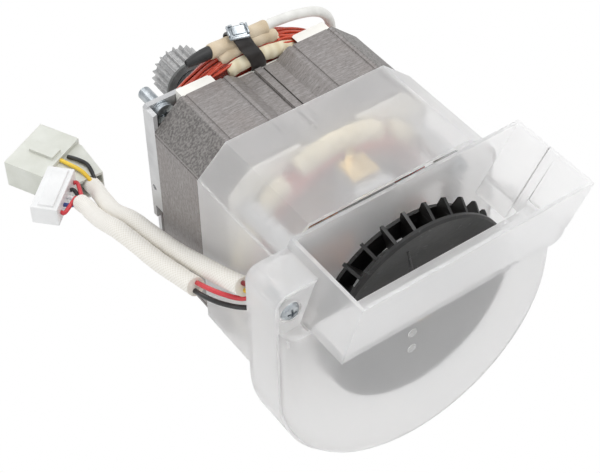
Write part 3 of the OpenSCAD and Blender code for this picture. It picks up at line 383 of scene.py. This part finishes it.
finish_as("black_rubber", plastic, (0.012, 0.012, 0.012), (0.03, 0.03, 0.03), 0.55)
finish_as("frosted_plastic", frosted)
finish_as("woven_sleeve", woven, (0.76, 0.72, 0.64), (0.87, 0.84, 0.78), 300)
finish_as("red_wire", plastic, (0.50, 0.02, 0.03), (0.66, 0.05, 0.06), 0.35)
finish_as("blue_wire", plastic, (0.03, 0.06, 0.22), (0.05, 0.1, 0.32), 0.35)
finish_as("white_wire", plastic, (0.72, 0.72, 0.71), (0.8, 0.8, 0.79), 0.35)
finish_as("dark_red_wire", plastic, (0.16, 0.008, 0.012), (0.25, 0.015, 0.02), 0.35)
finish_as("black_wire", plastic, (0.012, 0.012, 0.012), (0.03, 0.03, 0.03), 0.35)
finish_as("yellow_wire", plastic, (0.78, 0.5, 0.03), (0.9, 0.64, 0.07), 0.35)
finish_as("nylon", plastic, (0.74, 0.75, 0.67), (0.83, 0.84, 0.77), 0.32, Transmission_Weight=0.2)
finish_as("white_nylon", plastic, (0.76, 0.76, 0.75), (0.83, 0.83, 0.82), 0.4)

# Cords


def between(a, b, c, d, t):
    """The point at share t of the smooth curve from b to c, with a before them and d after."""
    squared, cubed = 2 * a - 5 * b + 4 * c - d, 3 * b - a - 3 * c + d
    return 0.5 * (2 * b + (c - a) * t + squared * t * t + cubed * t ** 3)


def smooth_route(points, step):
    """Points in millimetres joined by a smooth curve, as points in metres about step millimetres apart."""
    p = [Vector(q) for q in points]
    p = [2 * p[0] - p[1]] + p + [2 * p[-1] - p[-2]]
    route = []
    for k in range(1, len(p) - 2):
        a, b, c, d = p[k - 1:k + 3]
        count = max(1, round((c - b).length / step))
        route += [between(a, b, c, d, n / count) * MM for n in range(count)]
    route.append(p[-2] * MM)
    return route


# The lip at a tube's open end: how far it rounds off, in metres, and its radii as shares of the tube's
LIP_ROUND = 0.0003
LIP_INSIDE = 0.0002
LIP_RADII = (0.93, 0.82, 0.8)


def tube(name, route, radius, finish, sides=16, creases=0.0, open_end=0.0):
    """A round tube along the route, with UVs in metres. open_end is how deep its far end is hollow."""
    mesh = bpy.data.meshes.new(name)
    bm = bmesh.new()
    uv = bm.loops.layers.uv.new("round_and_along")
    side = None
    rings, along = [], 0.0
    rows = [(q, radius) for q in route]
    tip = (route[-1] - route[-2]).normalized()
    if open_end:
        rows[-1] = (route[-1] - tip * LIP_ROUND, radius)
        for back, share in zip((0, LIP_INSIDE, open_end), LIP_RADII):
            rows.append((route[-1] - tip * back, radius * share))
    for k, (q, r) in enumerate(rows):
        if k < len(route):
            way = (route[min(k + 1, len(route) - 1)] - route[max(k - 1, 0)]).normalized()
            along += (route[k] - route[k - 1]).length if k else 0.0
        else:
            way = tip
        if side is None:
            side = way.orthogonal().normalized()
        side = (side - way * side.dot(way)).normalized()
        over = way.cross(side)
        ring = []
        for n in range(sides):
            a = 2 * math.pi * n / sides
            crease = math.sin(3 * a + 260 * along) * math.sin(410 * along + 1)
            crease += 0.6 * math.sin(2 * a - 190 * along)
            outward = side * math.cos(a) + over * math.sin(a)
            ring.append(bm.verts.new(q + outward * r * (1 + creases * crease)))
        rings.append((ring, along))
    for (ring_a, v_a), (ring_b, v_b) in zip(rings, rings[1:]):
        for n in range(sides):
            m = (n + 1) % sides
            face = bm.faces.new((ring_a[n], ring_a[m], ring_b[m], ring_b[n]))
            u_a, u_b = (2 * math.pi * radius * w / sides for w in (n, n + 1))
            for loop, place in zip(face.loops, ((u_a, v_a), (u_b, v_a), (u_b, v_b), (u_a, v_b))):
                loop[uv].uv = place
    bm.faces.new(rings[0][0])
    bm.faces.new(rings[-1][0])
    bmesh.ops.recalc_face_normals(bm, faces=bm.faces)
    for face in bm.faces:
        face.smooth = len(face.verts) == 4
    bm.to_mesh(mesh)
    bm.free()
    obj = bpy.data.objects.new(name, mesh)
    scene.collection.objects.link(obj)
    mesh.materials.append(paint[finish])
    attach(obj, "motor_frame")
    return obj


# Radii of the leads, in metres
SLEEVE = 0.0035
WIRE = 0.0009

# Where the leads lie, in millimetres, each from its exit on
upper_route = smooth_route([
    (-50.5, -71, 15), (-51, -58, 9), (-51, -42, 1.5), (-51, -26, -5.5), (-51, -10, -10.8),
    (-50.6, 4, -15.6), (-48.6, 18, -25), (-45.6, 31, -35), (-41.8, 44, -44), (-37.8, 57, -52.4),
    (-34.8, 67.5, -58.4), (-33.6, 77.6, -61.4),
], 1.5)
lower_route = smooth_route([
    (-58.2, -52, 3), (-58.4, -38, -2), (-58.4, -25, -6.6), (-58.2, -11, -10.7), (-58, 4, -15.4),
    (-56.1, 17, -24), (-52.8, 29.6, -34), (-49.6, 42.4, -43), (-48.2, 50, -46.8), (-47.7, 56.2, -49.6),
], 1.5)
red_route = smooth_route([
    (-38, -75.7, 10), (-44, -75.7, 10), (-48, -73.4, 10.6), (-51.6, -69.6, 8.6), (-55.4, -63.6, 8.2),
    (-57.2, -57, 6.6), (-57.4, -51.6, 4.2),
], 1)
black_route = smooth_route([
    (-38, -75.7, 6), (-44, -75.7, 6), (-48, -75, 6.8), (-52.6, -71, 6), (-56.6, -64.8, 5.2),
    (-58.8, -58, 4), (-59, -52.5, 1.85),
], 1)
sleeve_form = {"sides": 24, "creases": 0.018, "open_end": 0.004}
upper_sleeve = tube("upper_sleeve", upper_route, SLEEVE, "woven_sleeve", **sleeve_form)
lower_sleeve = tube("lower_sleeve", lower_route, SLEEVE, "woven_sleeve", **sleeve_form)
branch_red = tube("branch_red", red_route, WIRE, "red_wire")
branch_black = tube("branch_black", black_route, WIRE, "black_wire")
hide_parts("upper_lead_sleeve")
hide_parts("lower_lead_sleeve")
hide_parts("branch_wire_red")
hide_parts("branch_wire_black")

# Name, finish, the CAD node it stands for, and its way
SHORT_WIRES = [
    ("entry_red", "dark_red_wire", "entry_wire_red",
     [(-50.5, -70.4, 16.4), (-50.3, -72.4, 17.4), (-48, -75, 19), (-44, -75.7, 19.6), (-38, -75.7, 19.6)]),
    ("entry_yellow", "yellow_wire", "entry_wire_yellow",
     [(-50.5, -71.65, 13.8), (-50.4, -74, 15), (-48, -76.6, 15.8), (-44, -75.7, 15.4), (-38, -75.7, 15.4)]),
    ("plug_yellow", "yellow_wire", "large_connector_wires",
     [(-34.9, 69.5, -57.6), (-34.9, 73.6, -56.3), (-35.8, 78.6, -55.3), (-38, 85, -55.3),
      (-39.9, 90.6, -55.5)]),
    ("plug_black", "black_wire", None,
     [(-33.2, 70.5, -58), (-32, 75.4, -56.2), (-31.6, 80, -55.4), (-33.4, 84.6, -55.2),
      (-35.8, 89, -55.5)]),
]
# The small plug's wires, each from its place in the plug to its place in the sleeve's end
SMALL_WIRES = [
    ("red_wire", (-56.2, 58, -51.4), (-49, 57.2, -48.2)),
    ("blue_wire", (-53.1, 60.9, -51.4), (-49.4, 56, -51)),
    ("white_wire", (-49.9, 63.9, -51.4), (-47.7, 56.5, -49.7)),
    ("black_wire", (-46.8, 66.8, -51.4), (-46.4, 55.7, -51.2)),
    ("red_wire", (-43.6, 69.7, -51.4), (-46.1, 56.9, -48.4)),
]
OUT_OF_PLUG = Vector((0.68, -0.73, 0))
OUT_OF_SLEEVE = Vector((0.22, 0.88, -0.42))
for k, (finish, a, b) in enumerate(SMALL_WIRES):
    a, b = Vector(a), Vector(b)
    points = [a, a + 1.8 * OUT_OF_PLUG, b + 2.4 * OUT_OF_SLEEVE, b, b - 2 * OUT_OF_SLEEVE]
    SHORT_WIRES.append((f"small_wire_{k + 1}", finish, None if k else "small_connector_wires", points))
on_upper, on_lower = [cad["large_connector"]], [cad["small_connector"]]
for name, finish, stands_for, points in SHORT_WIRES:
    wire = tube(name, smooth_route(points, 0.7), WIRE, finish, 12)
    if stands_for:
        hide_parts(stands_for)
    (on_lower if name.startswith("small") else on_upper).append(wire)

# Coil end: wire, tape, thermal cut-out and strap

# Degrees from which an edge is rounded, and up to which it is shaded smooth
ROUND_FROM = 40
SMOOTH_TO = 45


def mesh_piece(name, verts, faces, finish, round_edges=0.0):
    """A closed mesh in millimetres with its material, riding on the motor's frame."""
    mesh = bpy.data.meshes.new(name)
    mesh.from_pydata([Vector(v) * MM for v in verts], [], faces)
    obj = bpy.data.objects.new(name, mesh)
    scene.collection.objects.link(obj)
    return finished(obj, finish, round_edges)


def finished(obj, finish, round_edges=0.0, body="motor_frame"):
    """Normals outwards, edges rounded by so many millimetres, material on, and riding on its body."""
    activate(obj)
    bpy.ops.object.mode_set(mode="EDIT")
    bpy.ops.mesh.select_all(action="SELECT")
    bpy.ops.mesh.normals_make_consistent(inside=False)
    bpy.ops.object.mode_set(mode="OBJECT")
    if round_edges:
        bevel = obj.modifiers.new("round", "BEVEL")
        bevel.width = round_edges * MM
        bevel.segments = 3
        bevel.limit_method = "ANGLE"
        bevel.angle_limit = math.radians(ROUND_FROM)
        bpy.ops.object.modifier_apply(modifier="round")
    obj.data.materials.clear()
    obj.data.materials.append(paint[finish])
    bpy.ops.object.shade_smooth_by_angle(angle=math.radians(SMOOTH_TO))
    deselect()
    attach(obj, body)
    return obj


def lofted(name, sections, finish, round_edges=0.0, closed=False):
    """Sections of as many points each, joined side by side, with capped ends unless it closes on itself."""
    verts = [v for section in sections for v in section]
    n, rows = len(sections[0]), len(sections)
    faces = [] if closed else [tuple(range(n)), tuple(range(len(verts) - n, len(verts)))]
    for k in range(rows if closed else rows - 1):
        m = (k + 1) % rows
        for i in range(n):
            j = (i + 1) % n
            faces.append((k * n + i, k * n + j, m * n + j, m * n + i))
    return mesh_piece(name, verts, faces, finish, round_edges)


def joined(pieces):
    """The pieces as one object, which is the first of them."""
    deselect()
    for piece in pieces:
        piece.select_set(True)
    bpy.context.view_layer.objects.active = pieces[0]
    bpy.ops.object.join()
    return bpy.context.object


# How far tape's ends are rounded, in millimetres
SOFT_EDGE = 0.25


def round_coil(radius, depth, angle):
    """A point at a radius and an angle round the shaft, in millimetres."""
    a = math.radians(angle)
    return Vector((radius * math.cos(a), depth, radius * math.sin(a)))


# Radius and depth of each strand, in millimetres, and the radius of its wire in metres
STRANDS = [(47.1, -3.0), (47.5, -1.9), (47.3, -0.8), (47.8, 0.2), (47.4, 1.2), (47.7, 2.2), (47.2, 3.2),
           (46.4, 4.0), (46.3, -3.5), (45.0, 4.3)]
STRAND = 0.00052


def strands(name, angles):
    """Enamelled wires side by side over the coil's outside, each with its own wander."""
    made = []
    steps = 28
    for k, (radius, depth) in enumerate(STRANDS):
        route = []
        for n in range(steps + 1):
            t = n / steps
            wander = 0.35 * math.sin(7 * t + 2.1 * k) + 0.15 * math.sin(15 * t + k)
            lift = 0.3 * math.sin(5 * t + 1.3 * k)
            angle = angles[0] + t * (angles[1] - angles[0])
            route.append(round_coil(radius + lift, depth + wander, angle) * MM)
        made.append(tube(f"{name}_{k}", route, STRAND, "strand_wire", 10))
    bundle = joined(made)
    bundle.name = bundle.data.name = name
    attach(bundle, "motor_frame")
    deselect()


def lobe(name, centre, radius, angles, squash, finish="cream_tape"):
    """A padded band of tape that follows the coil's curve, a little uneven along its length.

    centre is its depth and its radius round the shaft, and squash its height as a share of its width.
    """
    sections = []
    steps, sides = 30, 28
    for n in range(steps + 1):
        t = n / steps
        angle = angles[0] + t * (angles[1] - angles[0])
        end = min(t, 1 - t) * steps
        taper = 0.86 + 0.14 * min(1.0, end / 2)
        section = []
        for i in range(sides):
            a = 2 * math.pi * i / sides
            uneven = 1 + 0.03 * math.sin(9 * t * math.pi + 2 * a) + 0.02 * math.sin(23 * t + 5 * a)
            r = radius * taper * uneven
            out, along = centre[1] + r * math.sin(a) * squash, centre[0] + r * math.cos(a)
            section.append(round_coil(out, along, angle))
        sections.append(section)
    return lofted(name, sections, finish, SOFT_EDGE)


strands("strands_left", (98, 141))
strands("strands_right", (76, 39))
pillow = lobe("tape_pillow", (-1.9, 43.4), 3.9, (104, 66), 0.93)
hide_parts("coil_tape")
lobe("tape_under", (0.8, 46.6), 3.6, (100, 74), 0.75)
arc = lobe("fan_end_pad", (-54.6, 40.2), 3.9, (114, 64), 1.1)
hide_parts("upper_fan_end_tapes")
lobe("fan_end_pad_left", (-54.8, 40.0), 3.6, (138, 122), 1.15)
lobe("fan_end_pad_low", (-54.8, 39.6), 3.8, (172, 148), 1.15)
lobe("fan_end_pad_right", (-54.8, 40.0), 3.6, (56, 38), 1.15)
lobe("tape_band", (-0.7, 48.3), 2.7, (104.5, 76), 1.0, "beige_sleeve")

# The cut-out's roll of sleeving lies along X over the coil, in millimetres
ROLL_X, ROLL_Y, ROLL_Z = -15, 0.9, 50.4
ROLL_LENGTH, ROLL_R = 24, 2.9


def roll_section(x, radius, sides=28):
    """A slightly uneven round section of the roll, leaning half a millimetre."""
    points = []
    for i in range(sides):
        a = 2 * math.pi * i / sides
        r = radius * (1 + 0.025 * math.sin(3 * a + 0.5 * x) + 0.02 * math.sin(5 * a - 0.8 * x))
        points.append((x + 0.5 * math.sin(a), ROLL_Y + r * math.cos(a), ROLL_Z + r * math.sin(a) * 0.95))
    return points


sections = []
for k in range(ROLL_LENGTH + 1):
    sections.append(roll_section(ROLL_X + k, ROLL_R * (0.94 if k in (0, ROLL_LENGTH) else 1)))
roll = lofted("cutout_roll", sections, "beige_sleeve", SOFT_EDGE)
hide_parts("cutout_sleeve", "thermal_cutout")

# The black end sleeve: a circle drawn out along the roll in steps of so much length, narrowed and let down
END_STEPS = [
    (0.8, 1.03, 0.0), (2.4, 0.97, -0.05), (2.4, 0.9, -0.15), (2.2, 0.84, -0.25), (1.6, 0.84, -0.3),
    (0.5, 0.9, -0.05), (0.15, 0.72, 0.0), (-0.5, 0.9, 0.0),
]
END_RADIUS = 2.35
END_X = -14.6
bpy.ops.mesh.primitive_circle_add(vertices=24, radius=END_RADIUS * MM, fill_type="NGON",
                                  location=(END_X * MM, ROLL_Y * MM, ROLL_Z * MM), rotation=(0, math.pi / 2, 0))
tip = bpy.context.object
tip.name = tip.data.name = "cutout_end"
bpy.ops.object.transform_apply(location=True, rotation=True, scale=True)
bpy.ops.object.mode_set(mode="EDIT")
for step, shrink, drop in END_STEPS:
    bpy.ops.mesh.extrude_region_move(TRANSFORM_OT_translate={"value": (-step * MM, 0, drop * MM)})
    bpy.ops.transform.resize(value=(1, shrink, shrink), center_override=(0, ROLL_Y * MM, ROLL_Z * MM))
bpy.ops.object.mode_set(mode="OBJECT")
finished(tip, "black_rubber", 0.12)
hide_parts("end_sleeve")

# Strap round the coil and the cut-out, slanted as it is pulled tight

STRAP_LINE = [
    (-3.4, 0.9, 53.9), (-3.2, -1.2, 53.2), (-2.6, -2.9, 51.3), (-1.8, -3.7, 49.2), (-0.7, -5.2, 47.2),
    (0.4, -5.7, 44.6), (1.3, -5.6, 41.4), (1.6, -4.7, 36), (1.4, -4.3, 32.4), (0.8, -3, 30.8), (0, 0, 30.6),
    (-0.8, 3, 30.8), (-1.4, 4.8, 32.2), (-1.8, 5.3, 37), (-2.4, 5.4, 43), (-3.0, 5.2, 48), (-3.3, 4.2, 52),
]
# The strap's section, as shares of its width and its thickness
STRAP_SECTION = [
    (-0.5, 0), (-0.5, 0.55), (-0.44, 0.85), (-0.25, 1.0), (0, 1.05), (0.25, 1.0), (0.44, 0.85), (0.5, 0.55),
    (0.5, 0), (0.2, -0.05), (-0.2, -0.05),
]


def ribbon(name, line, width, thick, finish):
    """A closed strap along a line that runs round the X axis, with a crowned outer face."""
    p = [Vector(q) for q in line]
    dense = []
    for k in range(len(p)):
        a, b, c, d = p[k - 1], p[k], p[(k + 1) % len(p)], p[(k + 2) % len(p)]
        dense += [between(a, b, c, d, n / 4) for n in range(4)]
    middle = sum(dense, Vector()) / len(dense)
    sections = []
    for k, q in enumerate(dense):
        way = (dense[(k + 1) % len(dense)] - dense[k - 1]).normalized()
        out = q - middle
        out.x = 0
        out = (out - way * out.dot(way)).normalized()
        across = Vector((1, 0, 0))
        sections.append([q + across * u * width + out * v * thick for u, v in STRAP_SECTION])
    return lofted(name, sections, finish, closed=True)


belt = ribbon("coil_strap", STRAP_LINE, 6.2, 0.8, "satin_black")
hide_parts("strap")

# Buckle: a pressed plate with a rolled lip, side walls and a tongue


def add_box(size, place, turn_x, bevel):
    """A box in millimetres with rounded edges, turned by so many degrees about X."""
    bpy.ops.mesh.primitive_cube_add(size=1, location=[c * MM for c in place],
                                    rotation=(math.radians(turn_x), 0, 0))
    box = bpy.context.object
    box.scale = [c * MM for c in size]
    bpy.ops.object.transform_apply(location=True, rotation=True, scale=True)
    bpy.ops.object.mode_set(mode="EDIT")
    bpy.ops.mesh.select_all(action="SELECT")
    bpy.ops.mesh.bevel(offset=bevel * MM, segments=3, affect="EDGES", clamp_overlap=True)
    bpy.ops.object.mode_set(mode="OBJECT")
    return box


BUCKLE_PARTS = [
    ((7.6, 5.6, 0.8), (0, 0, 0), 0, 0.7), ((7.6, 1.3, 1.2), (0, -2.7, 0.2), 20, 0.5),
    ((0.8, 4.6, 1.3), (-3.5, 0.3, 0.7), 0, 0.3), ((0.8, 4.6, 1.3), (3.5, 0.3, 0.7), 0, 0.3),
    ((4.8, 3.4, 0.6), (0.2, 0.2, 0.85), 12, 0.25), ((1.5, 0.9, 0.9), (-2.2, 2.7, 0.5), -15, 0.25),
    ((1.5, 0.9, 0.9), (2.2, 2.7, 0.5), -15, 0.25),
]
BUCKLE_PLACE = (-0.0032, 0.0, 0.0546)
BUCKLE_TURN_Z = Matrix.Rotation(math.radians(-18), 4, "Z")
BUCKLE_TURN_X = Matrix.Rotation(math.radians(14), 4, "X")
plate = joined([add_box(*values) for values in BUCKLE_PARTS])
plate.name = plate.data.name = "strap_clamp"
plate.data.transform(Matrix.Translation(BUCKLE_PLACE) @ BUCKLE_TURN_Z @ BUCKLE_TURN_X)
finished(plate, "zinc_plate")
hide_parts("strap_buckle")

# Sleeving that carries the cut-out's leads back into the winding

loop_route = smooth_route([
    (8.4, 0.9, 50.3), (12, 1.6, 50.2), (16.3, 2, 49.6), (22.5, 2, 48.8), (28.3, 2, 47.4), (31.8, 2, 46),
    (34.6, 2, 44.2), (36.8, 2, 41.8), (38.1, 2, 39.2), (38.8, 2, 36), (38.9, 2, 31.8),
], 0.8)
LOOP = 0.0019
loop = tube("loop_tube", loop_route, LOOP, "white_sleeve", 20, 0.012)
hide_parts("loop_sleeving")

# Moulding marks on the cover and the fan, each drawn out of a circle or a box

# Where their faces lie along the shaft, in millimetres
COVER_FACE = -107.15
FAN_FACE = -103.35


def ring_mark(name, place, radius, height, finish="frosted_plastic", body="motor_frame"):
    """A low ring with a dimple, as an ejector pin or gate leaves it, facing away from the motor."""
    bpy.ops.mesh.primitive_circle_add(vertices=32, radius=radius * MM, fill_type="NGON",
                                      location=[c * MM for c in place], rotation=(math.pi / 2, 0, 0))
    mark = bpy.context.object
    mark.name = mark.data.name = name
    bpy.ops.object.transform_apply(location=True, rotation=True, scale=True)
    bpy.ops.object.mode_set(mode="EDIT")
    bpy.ops.mesh.extrude_region_move(TRANSFORM_OT_translate={"value": (0, -height * MM, 0)})
    bpy.ops.mesh.inset(thickness=radius * 0.18 * MM)
    bpy.ops.mesh.inset(thickness=radius * 0.12 * MM)
    bpy.ops.transform.translate(value=(0, height * 0.8 * MM, 0))
    bpy.ops.object.mode_set(mode="OBJECT")
    finished(mark, finish, height * 0.2, body)


for k, z in enumerate((-4.8, -12.9)):
    ring_mark(f"cover_mark_{k + 1}", (-6.6, COVER_FACE, z), 1.9, 0.4)
ring_mark("fan_mark", (-4.4, FAN_FACE, 19.6), 1.7, 0.4, "black_plastic", "rotor")
ring_mark("fan_hub_mark", (0, FAN_FACE, 0), 9.5, 0.6, "black_plastic", "rotor")
RIB_SIZE = (10, 0.7, 0.9)
RIB_OUT = 28.5
RIB_FACE = -103.4
for k, angle in enumerate((102.6, 222.6, 342.6)):
    rib = add_box(RIB_SIZE, (0, 0, 0), 0, 0.2)
    rib.name = rib.data.name = f"fan_rib_{k + 1}"
    outwards = Matrix.Rotation(math.radians(-angle), 4, "Y") @ Matrix.Translation((RIB_OUT * MM, 0, 0))
    rib.data.transform(Matrix.Translation((0, RIB_FACE * MM, 0)) @ outwards)
    finished(rib, "black_plastic", 0, "rotor")

# CAD nodes: each takes its slot's material, with worn edges

slots = {s["node"]: s["material_slot"] for s in frame["record"]["subparts"]}
# How wide each node's edges are worn, in millimetres
EDGES = {
    "drive_bracket": 0.5, "stator_core": 0.25, "shroud": 0.5, "front_cover": 0.5, "pulley": 0.12, "fan": 0.15,
    "large_connector": 0.4, "small_connector": 0.3, "mounting_screws": 0.2, "flat_washers": 0.12,
    "cover_screw": 0.15, "fan_bracket": 0.4, "drive_end_insulator": 0.2, "fan_end_insulator": 0.2,
    "shaft": 0.15, "pulley_disc": 0.15, "core_screws": 0.2, "spring_washers": 0.12,
}
# Points this close in metres are one, faces this flat in degrees are one, and edges this sharp are worn
WELD_WITHIN = 0.000002
FLAT_TO = 0.5
WORN_FROM = 28
for name, node in cad.items():
    node.data.materials.clear()
    node.data.materials.append(paint[slots[name]])
    activate(node)
    bpy.ops.mesh.customdata_custom_splitnormals_clear()
    for polygon in node.data.polygons:
        polygon.use_smooth = True
    weld = node.modifiers.new("weld", "WELD")
    weld.merge_threshold = WELD_WITHIN
    if name in EDGES:
        flat = node.modifiers.new("flat", "DECIMATE")
        flat.decimate_type = "DISSOLVE"
        flat.angle_limit = math.radians(FLAT_TO)
        edge = node.modifiers.new("edge", "BEVEL")
        edge.width = EDGES[name] * MM
        edge.segments = 2
        edge.limit_method = "ANGLE"
        edge.angle_limit = math.radians(WORN_FROM)
        edge.use_clamp_overlap = True
    even = node.modifiers.new("even", "WEIGHTED_NORMAL")
    even.weight = 60
    even.keep_sharp = True
deselect()

# Studio

# The floor is white to the eye, in reflections and through the plastic, and a matt white to all other light
FLOOR_Z = -0.0676
bpy.ops.mesh.primitive_plane_add(size=6, location=(0, 0, FLOOR_Z))
floor = bpy.context.object
floor.name = "floor"
m = Mat("floor")
matt = m.surface(speckle(m, (0.9, 0.9, 0.9), (0.93, 0.93, 0.93), 3, 0.3, 0.7, 2), 0.8)
glow = m.t.nodes.new("ShaderNodeEmission")
m.put(glow.inputs["Color"], (1, 1, 1))
glow.inputs["Strength"].default_value = 1.0
path = m.t.nodes.new("ShaderNodeLightPath")
mirrored = m.math("MAXIMUM", path.outputs["Is Glossy Ray"], path.outputs["Is Transmission Ray"])
seen = m.math("MAXIMUM", path.outputs["Is Camera Ray"], mirrored)
pick = m.t.nodes.new("ShaderNodeMixShader")
m.link(seen, pick.inputs[0])
m.link(matt, pick.inputs[1])
m.link(glow.outputs[0], pick.inputs[2])
floor.data.materials.append(m.done(pick.outputs[0]))

world = bpy.data.worlds.new("studio")
scene.world = world
world.use_nodes = True
wt = world.node_tree
wt.nodes.clear()
w_out = wt.nodes.new("ShaderNodeOutputWorld")
soft = wt.nodes.new("ShaderNodeBackground")
soft.inputs[0].default_value = (0.95, 0.97, 1.0, 1)
soft.inputs[1].default_value = 0.75
white = wt.nodes.new("ShaderNodeBackground")
white.inputs[0].default_value = (1, 1, 1, 1)
white.inputs[1].default_value = 1.0
w_path = wt.nodes.new("ShaderNodeLightPath")
w_mix = wt.nodes.new("ShaderNodeMixShader")
wt.links.new(w_path.outputs["Is Camera Ray"], w_mix.inputs[0])
wt.links.new(soft.outputs[0], w_mix.inputs[1])
wt.links.new(white.outputs[0], w_mix.inputs[2])
wt.links.new(w_mix.outputs[0], w_out.inputs[0])


def lamp(name, place, aim, size, watts, colour=(1, 1, 1)):
    """A rectangular lamp of so many metres, turned to its aim."""
    data = bpy.data.lights.new(name, "AREA")
    data.shape = "RECTANGLE"
    data.size = size[0]
    data.size_y = size[1]
    data.energy = watts
    data.color = colour
    obj = bpy.data.objects.new(name, data)
    scene.collection.objects.link(obj)
    obj.location = place
    obj.rotation_euler = (Vector(aim) - Vector(place)).to_track_quat("-Z", "Y").to_euler()


lamp("key", (0.25, -0.15, 0.8), (0, -0.03, 0), (0.7, 0.5), 3.4)
lamp("left", (-0.75, -0.25, 0.3), (0, -0.03, 0), (0.5, 0.5), 1.0, (1.0, 0.98, 0.95))
lamp("back", (-0.1, 0.7, 0.5), (0, 0, 0), (0.6, 0.4), 1.4)
scene.view_settings.view_transform = "Standard"
